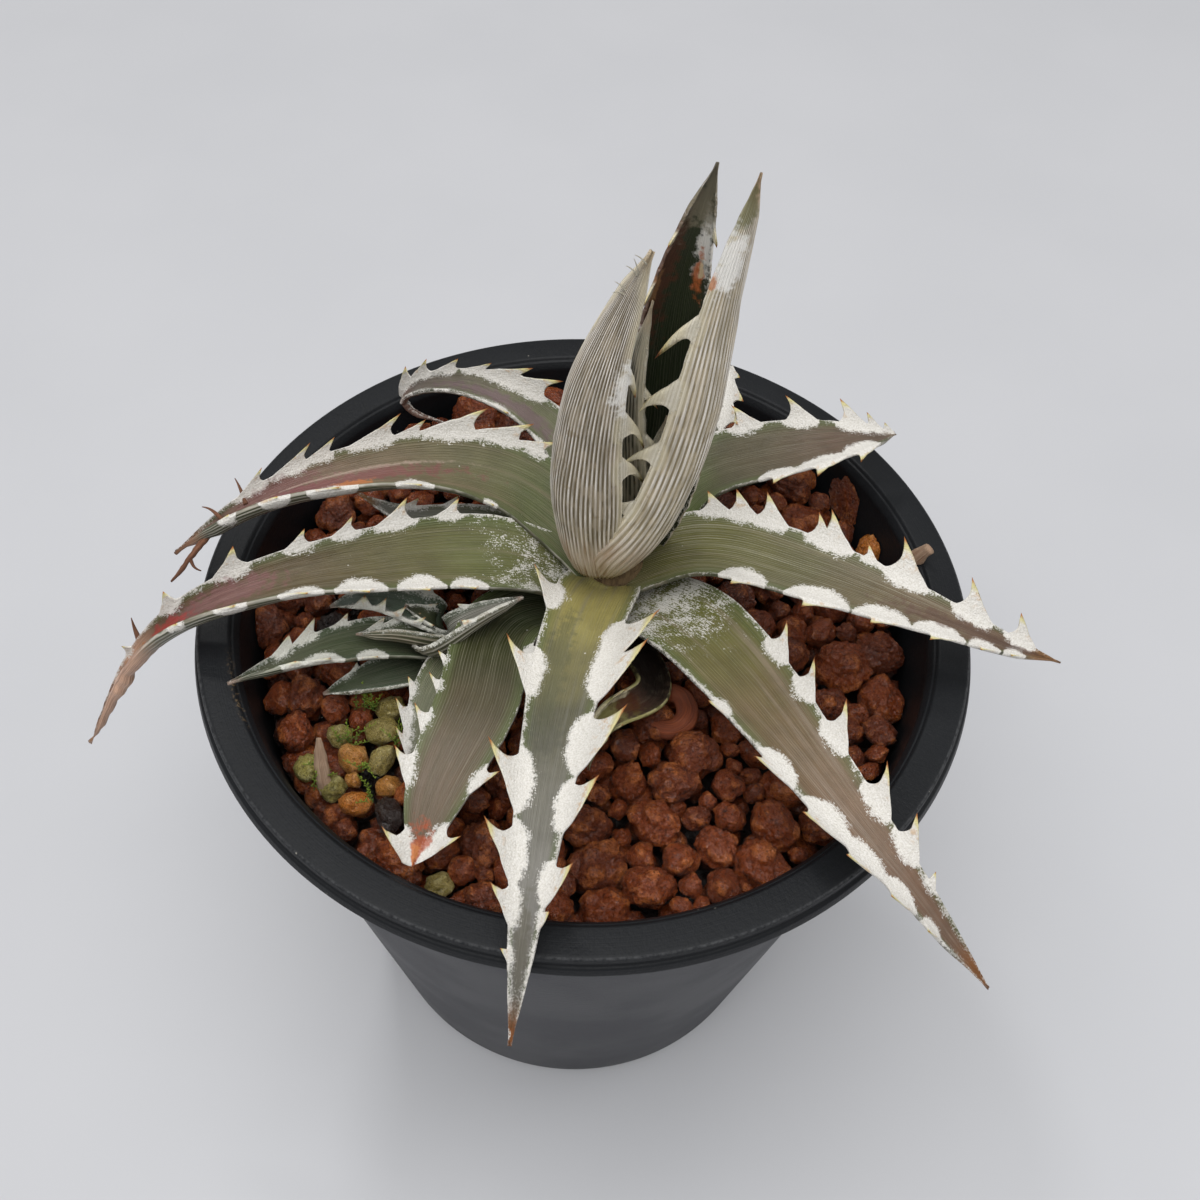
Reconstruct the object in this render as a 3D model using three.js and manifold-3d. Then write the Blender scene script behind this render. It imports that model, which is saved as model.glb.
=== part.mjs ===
// Dyckia bromeliad with one offset, growing in a round black plastic nursery pot.
// Millimetres, +Z up. The origin is the centre of the pot's flat base, the front is -Y.
import * as THREE from 'three';
import { mergeVertices } from 'three/addons/utils/BufferGeometryUtils.js';
import Module from 'manifold-3d';

const wasm = await Module();
wasm.setup();

// ---------------------------------------------------------------- driving dimensions

const CLEARANCE = 0.3; // gap kept between pieces that touch

const POT = {
  height: 89,
  rimRadius: 53,
  rimDepth: 3.4, // height of the band round the rim
  wallTopRadius: 49.2, // outside of the wall, just under the band
  baseRadius: 34.5,
  wall: 1.4,
  ledgeRadius: 46.8, // inner edge of the step inside the rim
  holeRadius: 3,
  holeCircle: 21, // radius of the circle of drain holes
  holes: 6,
  segments: 48,
};

const SOIL = {
  top: 79.8, // the bed between the grains
  granules: 122,
  granuleMin: 3,
  granuleMax: 4.3,
  spread: 42.1, // radius of the disc that the grains' centres fill
  stray: 2, // how far a grain may lie off its place
  proud: 0.15, // height of a grain's centre over the bed, as a part of its size
  segments: 40,
};
const GOLDEN_ANGLE = 2.399963; // turn from one grain to the next

const STEM = { x: 4, y: 6.5, top: 91, bottom: 68, radius: 3.6, footRadius: 4.6, segments: 10 };
const OFFSET_STEM = { x: -19.5, y: -5.5, top: 86, bottom: 74, radius: 1.3, footRadius: 2.2, segments: 8 };

// A splinter of bark leans on the pot's wall at the right, a thin one stands at the left front.
const CHIPS = [
  { name: 'bark_chip', foot: [42.6, 11.2, 80.4], head: [44.1, 9.2, 92], width: 2.2, thick: 1.1 },
  { name: 'bark_splinter', foot: [-33, -27.8, 80.3], head: [-31.9, -24.1, 88], width: 1.6, thick: 0.8 },
];

const MARGIN = 0.35; // band of scurf along a blade's edge, between the teeth
const EDGE_THICKNESS = 0.75; // of a blade at its margins
const TOOTH_THICKNESS = 0.7;
const TIP_HALF_WIDTH = 0.2;
const STATION_STEP = 4.6; // longest step between two sections of a blade
const STATION_MERGE = 1.3; // teeth closer together than this share a section
const TOOTH_HOOK = 0.45; // how far a tooth leans back, as a part of its length
const LEAN_LIMIT = 0.8; // the most it leans, as a part of the step to the section before
const TIP_THINNING = 0.55; // share of its thickness that a blade loses towards the tip

// A blade follows a cubic B-spline through its path, from the base to the tip.
// up: where the inner face looks, cup: half the angle its section bends through, roll: turn
// about the path, both in degrees at [base, tip]. base and widest: share of the full width
// at the foot, and where along the blade it is reached. taper: how late it narrows.
// left, right: teeth as [place along the blade, length], seen from the base.
const SKY = [0, 0, 1];

const ROSETTE = [
  {
    name: 'leaf_left_upper',
    path: [
      [2, 7, 87.5], [-7, 15.5, 93], [-19, 15.5, 98],
      [-32, 10, 100.5], [-45, 5, 99.5], [-56, 1.5, 92],
    ],
    width: 11.5, base: 0.85, widest: 0.2, taper: 1.7, cup: [25, 75], roll: [0, -20], thick: 2.2,
    right: [
      [0.24, 2.5], [0.29, 3.5], [0.37, 4], [0.46, 2],
      [0.52, 3.5], [0.64, 2.5], [0.69, 3], [0.78, 2.5],
    ],
    left: [[0.3, 1.5], [0.48, 2.5], [0.64, 3], [0.75, 2], [0.85, 1.5]],
  },
  {
    name: 'leaf_right',
    path: [
      [5, 6, 88], [14.5, 7.5, 93.5], [25.5, 1, 97.5],
      [37.5, -5.5, 99.5], [49.5, -8.5, 97], [62.5, -9, 92],
    ],
    width: 12, base: 0.85, widest: 0.2, taper: 1.7, cup: [22, 35], roll: [0, 0], thick: 2.2,
    left: [
      [0.19, 3], [0.24, 3.5], [0.3, 4], [0.42, 3.5], [0.45, 4.5],
      [0.54, 2], [0.62, 5], [0.78, 4.5], [0.9, 3.5],
    ],
    right: [[0.32, 3], [0.475, 3.5], [0.6, 3], [0.71, 3], [0.81, 2], [0.88, 1.5]],
  },
  {
    name: 'leaf_back_right',
    path: [[5, 8, 87], [10.5, 20, 90], [20, 21, 95.5], [32, 20.5, 100], [43, 26.5, 97]],
    width: 12, base: 0.8, widest: 0.25, taper: 2.6, cup: [20, 35], roll: [0, 0], thick: 2,
    left: [[0.52, 3.5], [0.69, 4], [0.86, 4], [0.93, 2.5], [0.98, 1.5]],
    right: [[0.605, 2.5], [0.715, 3], [0.83, 3]],
  },
  {
    name: 'leaf_back_left',
    path: [
      [2, 9, 87], [0.5, 17, 89], [-2.5, 23.5, 90.5], [-7, 28, 93.5], [-14, 30.5, 97],
      [-22.5, 32.5, 97.5], [-29.5, 34, 93], [-29.5, 34, 88], [-21.5, 33, 87],
    ],
    width: 9, base: 0.9, widest: 0.2, taper: 0.9, cup: [25, 65], roll: [-8, 30], thick: 1.8,
    right: [[0.46, 4], [0.52, 3.5], [0.59, 2], [0.66, 2], [0.73, 2.5], [0.78, 2.5]],
    left: [[0.36, 2], [0.5, 2]],
  },
  {
    name: 'leaf_front',
    path: [
      [3, 6, 86], [0.5, -5, 94], [-2, -19.5, 96.5],
      [-3.5, -35.5, 97.5], [-4.5, -50, 95.5], [-5.5, -61.5, 86],
    ],
    width: 10.7, base: 0.9, widest: 0.12, taper: 1.5, cup: [24, 38], roll: [0, 0], thick: 2.2,
    right: [[0.17, 4.5], [0.37, 5], [0.58, 5.5], [0.7, 5], [0.78, 3.5], [0.86, 1.5]],
    left: [[0.26, 6], [0.34, 6], [0.49, 6], [0.61, 4.5], [0.74, 3.5], [0.8, 1.5]],
  },
  {
    name: 'leaf_left_lower',
    path: [
      [1, 5, 85], [-8, 4, 91.5], [-17.5, 1.5, 95], [-27.5, -2.5, 97], [-38, -6.5, 98],
      [-48, -9.5, 96], [-56.5, -11.5, 90.5], [-62.5, -13.5, 81.5], [-67.5, -17, 72],
    ],
    width: 12, base: 0.85, widest: 0.2, taper: 1.1, cup: [22, 75], roll: [0, -25], thick: 2.2,
    right: [[0.25, 2.5], [0.33, 3.5], [0.41, 2.5], [0.48, 2.5], [0.58, 3.5], [0.69, 2.5], [0.8, 1.5]],
    left: [[0.24, 2.5], [0.315, 3], [0.405, 3], [0.49, 2.5], [0.59, 2], [0.68, 1.5]],
  },
  {
    name: 'leaf_front_right',
    path: [
      [4, 5, 84.5], [14, -4.5, 91.5], [22, -18.5, 95.5],
      [30, -33.5, 98], [40, -44.5, 94.5], [50.5, -50, 82],
    ],
    width: 13.5, base: 0.8, widest: 0.2, taper: 1.25, cup: [20, 35], roll: [0, 0], thick: 2.2,
    left: [[0.34, 3.5], [0.43, 3.5], [0.53, 4], [0.65, 4], [0.73, 3.5], [0.8, 1.5]],
    right: [[0.4, 2], [0.53, 3.5], [0.63, 4], [0.7, 3.5], [0.77, 3], [0.84, 2]],
  },
  {
    name: 'leaf_left_middle',
    path: [[1, 7, 83.5], [-7, 10, 87], [-16, 13, 89], [-26.5, 11.5, 89.5], [-33, 14, 92]],
    width: 7, base: 0.85, widest: 0.3, taper: 1.4, cup: [30, 40], roll: [0, 0], thick: 1.6,
    left: [[0.5, 1.5], [0.7, 1.5]],
    right: [[0.45, 1.5], [0.62, 1.5], [0.78, 1.5]],
  },
  {
    name: 'leaf_back',
    path: [[4, 9, 84], [10, 18.5, 88], [15.5, 28.5, 95], [19.5, 40, 96]],
    width: 9, base: 0.8, widest: 0.3, taper: 2, cup: [25, 35], roll: [0, 0], thick: 1.8,
    right: [[0.73, 4], [0.83, 4], [0.94, 2.5]],
    left: [[0.66, 3], [0.78, 3], [0.9, 2]],
  },
  {
    name: 'leaf_front_left',
    path: [
      [1, 3, 83.5], [-9.5, -1, 87.5], [-12.5, -9.5, 90.5],
      [-12, -21, 93], [-16.5, -31, 92], [-19, -40.5, 86.5],
    ],
    width: 10.5, base: 0.8, widest: 0.35, taper: 4, cup: [20, 22], roll: [0, 0], thick: 2,
    right: [[0.47, 1.5], [0.56, 2], [0.68, 2.5], [0.79, 3], [0.96, 4]],
    left: [[0.42, 4], [0.76, 3], [0.93, 4]],
  },
  {
    name: 'leaf_front_left_under',
    path: [[0, 2, 82.5], [-13.5, -4, 84.5], [-20, -15, 88.5], [-21, -28.5, 85.5]],
    width: 7, base: 0.8, widest: 0.35, taper: 2, cup: [28, 28], roll: [0, 0], thick: 1.5,
    right: [[0.69, 1.5], [0.78, 2.5], [0.86, 2]],
    left: [[0.7, 1.5], [0.85, 1.5]],
  },
  {
    name: 'leaf_dry_front',
    path: [
      [4, 1, 81.5], [9.5, -8, 83.5], [9.5, -14.5, 86.5],
      [5.5, -17.5, 89], [1.8, -20.5, 88.5], [1.6, -25.5, 86],
    ],
    width: 6, base: 0.9, widest: 0.4, taper: 2, cup: [40, 75], roll: [0, 40], thick: 0.9, finish: 'dry',
    left: [[0.78, 1.5], [0.88, 1.5]],
    right: [[0.7, 1.5]],
  },
];

const COLUMN = [
  {
    name: 'column_right', up: [-0.77, 0.64, 0],
    path: [
      [4, 4.5, 90.5], [8.2, 1.6, 98.5], [12.5, 2.5, 111],
      [14.3, 4, 125], [14.6, 5.5, 139], [16.3, 8, 152.5],
    ],
    width: 11.8, base: 1.5, widest: 0.28, taper: 2.1, cup: [92, 60], roll: [-8, 0], thick: 1.1,
    right: [[0.16, 2.5], [0.24, 3], [0.4, 3], [0.55, 4], [0.7, 3]],
    left: [[0.45, 2], [0.65, 2]],
  },
  {
    name: 'column_left', up: [0.57, 0.82, 0],
    path: [
      [-0.6, 3.6, 91], [-2.2, 1.6, 98], [-2.9, 0.5, 109.5],
      [-2, 0, 122], [0.5, 0.5, 134], [5.5, 4.5, 144.5],
    ],
    width: 13.4, base: 0.9, widest: 0.3, taper: 1.6, cup: [78, 66], roll: [8, 0], thick: 1.1,
    left: [[0.43, 4], [0.57, 4.5], [0.72, 2.5]],
    right: [[0.5, 2], [0.6, 2], [0.72, 2], [0.8, 2], [0.88, 1.5]],
  },
  {
    name: 'column_back', up: [0, -1, 0],
    path: [
      [4.5, 10, 88.5], [8, 10.5, 98], [9, 11.5, 111],
      [8.5, 12.5, 124.5], [9.5, 12.5, 137], [12, 13, 150],
    ],
    width: 12, base: 0.8, widest: 0.3, taper: 1.6, cup: [50, 45], roll: [0, 0], thick: 1.2,
    left: [[0.6, 2], [0.72, 2], [0.84, 1.5]],
    right: [[0.6, 2], [0.74, 2.5], [0.86, 1.5]],
  },
  {
    name: 'column_inner_left', up: [0.8, 0.5, 0],
    path: [[4, 6.5, 91.5], [5.5, 5.5, 99.5], [4.5, 5.5, 111.5], [4, 5.5, 124], [6, 7, 135.5]],
    width: 6, base: 0.9, widest: 0.3, taper: 1.6, cup: [45, 50], roll: [0, 0], thick: 1,
    left: [[0.55, 2], [0.72, 1.5]],
    right: [],
  },
  {
    name: 'column_inner_front', up: [-0.3, 0.95, 0],
    path: [[5.5, 6.5, 91.5], [7.5, 5.5, 98], [8.5, 6, 108], [9, 6.5, 118]],
    width: 6, base: 0.9, widest: 0.3, taper: 1.6, cup: [50, 50], roll: [0, 0], thick: 1,
    left: [],
    right: [[0.7, 1.5]],
  },
];

const OFFSET = [
  {
    name: 'offset_leaf_heart',
    path: [[-19.5, -4.5, 85], [-19.5, -5.5, 89], [-24, -5, 91.5]],
    width: 3.4, base: 0.9, widest: 0.3, taper: 1.8, cup: [50, 50], roll: [0, 0], thick: 0.9,
    left: [[0.6, 1]],
    right: [[0.6, 1]],
  },
  {
    name: 'offset_leaf_inner_back',
    path: [[-19, -4, 84], [-19.5, -4.5, 88], [-23.5, -4, 90], [-29, -3.5, 91.5], [-34, -5.5, 91]],
    width: 6, base: 0.85, widest: 0.3, taper: 1.8, cup: [40, 45], roll: [0, 0], thick: 1,
    left: [[0.5, 1.5], [0.68, 1.5], [0.85, 1]],
    right: [[0.5, 1.5], [0.68, 1.5], [0.85, 1]],
  },
  {
    name: 'offset_leaf_inner_front',
    path: [[-19, -6, 83.5], [-20, -8, 87.5], [-24, -8.5, 89.5], [-30, -9.5, 90.5]],
    width: 6, base: 0.85, widest: 0.3, taper: 1.8, cup: [45, 50], roll: [0, 0], thick: 1,
    left: [],
    right: [[0.5, 1.5], [0.65, 1.5], [0.8, 1.5]],
  },
  {
    name: 'offset_leaf_right',
    path: [[-19.5, -7, 83], [-18, -8.5, 87.5], [-14, -6, 91], [-8.5, -2.5, 92.5]],
    width: 6, base: 0.85, widest: 0.3, taper: 1.3, cup: [30, 30], roll: [0, 0], thick: 1.1,
    left: [[0.6, 1]],
    right: [[0.6, 1]],
  },
  {
    name: 'offset_leaf_left',
    path: [
      [-20.5, -5.5, 82.5], [-24, -7.5, 87.5], [-32, -10, 89],
      [-38.5, -14.5, 90], [-45, -18.5, 90.8],
    ],
    width: 6.5, base: 0.85, widest: 0.3, taper: 1.6, cup: [25, 40], roll: [0, 0], thick: 1.4,
    right: [[0.45, 1.5], [0.6, 2.5], [0.72, 2]],
    left: [[0.4, 1], [0.55, 1], [0.7, 1]],
  },
  {
    name: 'offset_leaf_under',
    path: [[-20, -7, 82.5], [-22.5, -10, 84.5], [-28.5, -12.5, 84.8], [-34, -15.5, 85]],
    width: 6, base: 0.85, widest: 0.3, taper: 1.6, cup: [25, 40], roll: [0, 0], thick: 1,
    left: [],
    right: [[0.7, 1]],
  },
];

const FINISH = {
  pot: { color: 0x2b2e31, roughness: 0.55, metalness: 0 },
  soil: { color: 0x6b3320, roughness: 0.7, metalness: 0 },
  stem: { color: 0x6d5b42, roughness: 0.9, metalness: 0 },
  leaf: { color: 0x68704f, roughness: 0.6, metalness: 0 },
  column: { color: 0x8d8a80, roughness: 0.65, metalness: 0 },
  dry: { color: 0xa98a5c, roughness: 0.9, metalness: 0 },
  bark: { color: 0x8a5b40, roughness: 0.9, metalness: 0 },
};

// ---------------------------------------------------------------- solids and meshes

/** A closed body from one list of corners and one of triangles, with its faces out. */
function solidFrom(corners, triangles) {
  const vertProperties = new Float32Array(corners.flatMap((corner) => corner.toArray()));
  const outward = signedVolume(corners, triangles) > 0;
  const turned = outward ? triangles : triangles.map(([a, b, c]) => [a, c, b]);
  const triVerts = new Uint32Array(turned.flat());
  return new wasm.Manifold(new wasm.Mesh({ numProp: 3, vertProperties, triVerts }));
}

function signedVolume(corners, triangles) {
  const across = new THREE.Vector3();
  return triangles.reduce((sum, [a, b, c]) => {
    across.crossVectors(corners[b], corners[c]);
    return sum + corners[a].dot(across);
  }, 0);
}

/** The closed body that a three.js geometry bounds. */
function solidOf(geometry) {
  const bare = geometry.index ? geometry.clone() : geometry;
  bare.deleteAttribute('normal');
  bare.deleteAttribute('uv');
  const merged = mergeVertices(bare, 1e-4);
  const place = merged.getAttribute('position');
  const corners = [];
  for (let i = 0; i < place.count; i += 1) {
    corners.push(new THREE.Vector3().fromBufferAttribute(place, i));
  }
  const index = merged.getIndex().array;
  const triangles = [];
  for (let i = 0; i < index.length; i += 3) {
    const [a, b, c] = index.slice(i, i + 3);
    if (a !== b && b !== c && c !== a) triangles.push([a, b, c]);
  }
  return solidFrom(corners, triangles);
}

function geometryOf(solid) {
  const mesh = solid.getMesh();
  const geometry = new THREE.BufferGeometry();
  geometry.setAttribute('position', new THREE.BufferAttribute(mesh.vertProperties, 3));
  geometry.setIndex(new THREE.BufferAttribute(mesh.triVerts, 1));
  geometry.computeVertexNormals();
  return geometry;
}

function addPiece(group, name, solid, finish) {
  const mesh = new THREE.Mesh(geometryOf(solid), new THREE.MeshStandardMaterial(finish));
  mesh.name = name;
  group.add(mesh);
}

/** The body cut back from its neighbours, without the loose scraps that a cut leaves. */
function cutClear(solid, neighbours) {
  const cut = neighbours.reduce((body, other) => body.subtract(other), solid);
  return cut.decompose().reduce((best, body) => (body.volume() > best.volume() ? body : best));
}

/** A solid of revolution about Z; profile points are [radius, height]. */
function turned(profile, segments) {
  const points = profile.map(([radius, height]) => new THREE.Vector2(radius, height));
  return solidOf(new THREE.LatheGeometry(points, segments).rotateX(Math.PI / 2));
}

/** A number from 0 to 1 that looks random and is always the same for a seed and a salt. */
function scatter(seed, salt) {
  const wave = Math.sin(seed * 12.9898 + salt * 78.233) * 43758.5453;
  return wave - Math.floor(wave);
}

// ---------------------------------------------------------------- pot, soil and stems

function potSolid() {
  const bandFoot = POT.height - POT.rimDepth;
  const innerTop = POT.ledgeRadius - 0.1;
  const body = turned(
    [
      [0, 0],
      [POT.baseRadius - 1, 0],
      [POT.baseRadius, 1],
      [POT.wallTopRadius, bandFoot],
      [POT.rimRadius - 0.5, bandFoot],
      [POT.rimRadius, bandFoot + 0.7],
      [POT.rimRadius, POT.height - 0.8],
      [POT.rimRadius - 0.7, POT.height],
      [POT.ledgeRadius + 1.7, POT.height],
      [POT.ledgeRadius + 1.2, POT.height - 0.6],
      [POT.ledgeRadius, POT.height - 1.6],
      [innerTop, POT.height - 2.2],
      [POT.baseRadius - POT.wall, POT.wall],
      [0, POT.wall],
    ],
    POT.segments,
  );
  return drainHoles().reduce((pot, hole) => pot.subtract(hole), body);
}

function drainHoles() {
  return Array.from({ length: POT.holes }, (_, i) => {
    const angle = (2 * Math.PI * i) / POT.holes;
    const bit = new THREE.CylinderGeometry(POT.holeRadius, POT.holeRadius, 3 * POT.wall, 8);
    bit.rotateX(Math.PI / 2);
    bit.translate(POT.holeCircle * Math.cos(angle), POT.holeCircle * Math.sin(angle), POT.wall / 2);
    return solidOf(bit);
  });
}

/** Inner radius of the pot at a height, less the clearance that the soil keeps. */
function soilRadius(height) {
  const rise = (height - POT.wall) / (POT.height - 2.2 - POT.wall);
  return THREE.MathUtils.lerp(POT.baseRadius - POT.wall, POT.ledgeRadius - 0.1, rise) - CLEARANCE;
}

/** One lumpy grain, set into the soil's surface at its place on a spiral over the pot. */
function grainSolid(i) {
  const reach = SOIL.spread * Math.sqrt((i + 0.5) / SOIL.granules);
  const angle = i * GOLDEN_ANGLE + (scatter(i, 1) - 0.5) * (SOIL.stray / (reach + SOIL.stray));
  const size = THREE.MathUtils.lerp(SOIL.granuleMin, SOIL.granuleMax, scatter(i, 2));
  const grain = new THREE.IcosahedronGeometry(size, 0);
  grain.scale(1, 0.85 + 0.15 * scatter(i, 3), 0.75 + 0.15 * scatter(i, 4));
  grain.rotateX(3 * scatter(i, 5));
  grain.rotateZ(6 * scatter(i, 6));
  const x = reach * Math.cos(angle);
  const y = reach * Math.sin(angle);
  grain.translate(x, y, SOIL.top + SOIL.proud * size);
  return solidOf(grain);
}

function soilSolid(holes, neighbours) {
  const foot = POT.wall + CLEARANCE;
  const bed = turned(
    [
      [0, foot],
      [soilRadius(foot), foot],
      [soilRadius(SOIL.top), SOIL.top],
      [0, SOIL.top],
    ],
    SOIL.segments,
  );
  const grains = Array.from({ length: SOIL.granules }, (_, i) => grainSolid(i));
  const filled = grains.reduce((soil, grain) => soil.add(grain), bed);
  return cutClear(filled, [...holes, ...neighbours]);
}

/** A short woody stem; grow widens it, for the hole that it stands in. */
function stemSolid(stem, grow = 0) {
  const shaft = turned(
    [
      [0, stem.bottom - grow],
      [stem.footRadius + grow, stem.bottom - grow],
      [stem.footRadius + grow, SOIL.top],
      [stem.radius + grow, stem.top + grow],
      [0, stem.top + grow],
    ],
    stem.segments,
  );
  return shaft.translate([stem.x, stem.y, 0]);
}

/** A flat sliver of bark from its foot to its narrower head; grow is added all round. */
function chipSolid({ foot, head, width, thick }, grow = 0) {
  const start = new THREE.Vector3(...foot);
  const run = new THREE.Vector3(...head).sub(start);
  const length = run.length();
  const sliver = new THREE.CylinderGeometry(0.4, 0.5, length + 2 * grow, 6);
  sliver.scale(width + 2 * grow, 1, thick + 2 * grow);
  sliver.translate(0, length / 2, 0);
  const upright = new THREE.Vector3(0, 1, 0);
  sliver.applyQuaternion(new THREE.Quaternion().setFromUnitVectors(upright, run.normalize()));
  return solidOf(sliver.translate(...foot));
}

// ---------------------------------------------------------------- blades

/** A cubic B-spline that starts and ends on its first and last points. */
class BladePath extends THREE.Curve {
  constructor(path) {
    super();
    const points = path.map((point) => new THREE.Vector3(...point));
    const last = points.length - 1;
    const before = points[0].clone().multiplyScalar(2).sub(points[1]);
    const after = points[last].clone().multiplyScalar(2).sub(points[last - 1]);
    this.points = [before, ...points, after];
    this.spans = last;
  }

  getPoint(t, target = new THREE.Vector3()) {
    const along = t * this.spans;
    const span = Math.min(Math.floor(along), this.spans - 1);
    const f = along - span;
    const weights = [
      (1 - f) ** 3,
      3 * f ** 3 - 6 * f ** 2 + 4,
      -3 * f ** 3 + 3 * f ** 2 + 3 * f + 1,
      f ** 3,
    ];
    target.set(0, 0, 0);
    weights.forEach((weight, k) => target.addScaledVector(this.points[span + k], weight / 6));
    return target;
  }
}

/** Half the blade's width at a place from 0 at the base to 1 at the tip. */
function halfWidth(leaf, at) {
  const rise = leaf.base + (1 - leaf.base) * THREE.MathUtils.smoothstep(at, 0, leaf.widest);
  const fall = 1 - Math.max(0, (at - leaf.widest) / (1 - leaf.widest)) ** leaf.taper;
  return (leaf.width / 2) * rise * fall;
}

/** Where the blade is cut into sections: at every tooth, with even steps between them. */
function stationsOf(leaf, length) {
  const tips = [...leaf.left, ...leaf.right].map(([at]) => at).sort((a, b) => a - b);
  const keys = [0];
  for (const at of [...tips, 1]) {
    if (at - keys.at(-1) > STATION_MERGE / length) keys.push(at);
  }
  keys[keys.length - 1] = 1;
  return keys.flatMap((key, i) => {
    if (i === 0) return [0];
    const steps = Math.max(1, Math.ceil(((key - keys[i - 1]) * length) / STATION_STEP));
    return Array.from({ length: steps }, (_, k) => keys[i - 1] + ((key - keys[i - 1]) * (k + 1)) / steps);
  });
}

/** Length of the tooth that stands on each station of one margin, or 0. */
function teethAt(stations, teeth) {
  const lengths = stations.map(() => 0);
  for (const [at, length] of teeth) {
    const gaps = stations.map((station) => Math.abs(station - at));
    lengths[gaps.indexOf(Math.min(...gaps))] = length;
  }
  lengths[0] = 0;
  lengths[lengths.length - 1] = 0;
  return lengths;
}

/** Origin, path direction, side and inner-face direction of the blade at a station. */
function frameAt(leaf, curve, at) {
  const origin = curve.getPointAt(at);
  const along = curve.getTangentAt(at);
  const face = new THREE.Vector3(...(leaf.up ?? SKY));
  face.addScaledVector(along, -face.dot(along)).normalize();
  const side = new THREE.Vector3().crossVectors(face, along);
  const roll = THREE.MathUtils.degToRad(THREE.MathUtils.lerp(...leaf.roll, at));
  face.applyAxisAngle(along, -roll);
  side.applyAxisAngle(along, -roll);
  return { origin, along, side, face };
}

/** Inner corners of one section, each with the depth and direction of the corner beneath. */
function sectionOf(leaf, curve, at, teeth, back, columns, grow) {
  const { origin, along, side, face } = frameAt(leaf, curve, at);
  const bend = THREE.MathUtils.degToRad(THREE.MathUtils.lerp(...leaf.cup, at));
  const half = Math.max(halfWidth(leaf, at), TIP_HALF_WIDTH) + grow;
  const core = leaf.thick * (1 - TIP_THINNING * at);
  const corners = [];
  for (let j = -columns; j <= columns; j += 1) {
    const v = j / columns;
    const across = Math.sin(bend * v) * (half / bend);
    const lift = (1 - Math.cos(bend * v)) * (half / bend);
    const normal = face.clone().multiplyScalar(Math.cos(bend * v));
    normal.addScaledVector(side, -Math.sin(bend * v));
    const place = origin.clone().addScaledVector(side, across).addScaledVector(face, lift);
    const depth = EDGE_THICKNESS + Math.max(0, core - EDGE_THICKNESS) * (1 - v * v);
    corners.push({ place, normal, depth });
  }
  for (const [sign, length] of [[-1, teeth[0]], [1, teeth[1]]]) {
    const edge = corners[sign < 0 ? 0 : corners.length - 1];
    const out = side.clone().multiplyScalar(sign * Math.cos(bend));
    out.addScaledVector(face, Math.sin(bend));
    const lean = Math.min(TOOTH_HOOK * length, back);
    const place = edge.place.clone().addScaledVector(out, Math.max(length, Math.min(MARGIN, half)));
    place.addScaledVector(along, -lean);
    const outer = { place, normal: edge.normal, depth: TOOTH_THICKNESS };
    if (sign < 0) corners.unshift(outer);
    else corners.push(outer);
  }
  return corners.map(({ place, normal, depth }) => ({
    inner: place.clone().addScaledVector(normal, grow),
    outer: place.clone().addScaledVector(normal, -depth - grow),
  }));
}

/** One toothed blade. columns: strips on each side of the middle. grow: added all round. */
function bladeSolid(leaf, columns, grow = 0) {
  const curve = new BladePath(leaf.path);
  const length = curve.getLength();
  const stations = stationsOf(leaf, length);
  const right = teethAt(stations, leaf.right);
  const left = teethAt(stations, leaf.left);
  const sections = stations.map((at, i) => {
    const back = i > 0 ? LEAN_LIMIT * (at - stations[i - 1]) * length : 0;
    return sectionOf(leaf, curve, at, [right[i], left[i]], back, columns, grow);
  });
  const across = sections[0].length;
  const inner = (i, j) => i * across + j;
  const outer = (i, j) => (sections.length + i) * across + j;
  const corners = [
    ...sections.flatMap((section) => section.map((corner) => corner.inner)),
    ...sections.flatMap((section) => section.map((corner) => corner.outer)),
  ];
  const triangles = [];
  const quad = (a, b, c, d) => triangles.push([a, b, c], [a, c, d]);
  for (let i = 0; i + 1 < sections.length; i += 1) {
    for (let j = 0; j + 1 < across; j += 1) {
      quad(inner(i, j), inner(i + 1, j), inner(i + 1, j + 1), inner(i, j + 1));
      const [a, b, c, d] = [outer(i, j), outer(i + 1, j), outer(i + 1, j + 1), outer(i, j + 1)];
      triangles.push([a, c, b], [a, d, c]);
    }
    quad(inner(i, 0), outer(i, 0), outer(i + 1, 0), inner(i + 1, 0));
    const end = across - 1;
    quad(inner(i, end), inner(i + 1, end), outer(i + 1, end), outer(i, end));
  }
  const tip = sections.length - 1;
  for (let j = 0; j + 1 < across; j += 1) {
    quad(inner(0, j), inner(0, j + 1), outer(0, j + 1), outer(0, j));
    quad(inner(tip, j), outer(tip, j), outer(tip, j + 1), inner(tip, j + 1));
  }
  return solidFrom(corners, triangles);
}

// ---------------------------------------------------------------- assembly

/** Adds each blade in turn, cut clear of the stem and of the blades before it. */
function addBlades(group, leaves, columns, finish, neighbours) {
  for (const leaf of leaves) {
    const blade = cutClear(bladeSolid(leaf, columns), neighbours);
    addPiece(group, leaf.name, blade, FINISH[leaf.finish ?? finish]);
    neighbours.push(bladeSolid(leaf, columns, CLEARANCE));
  }
}

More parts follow.
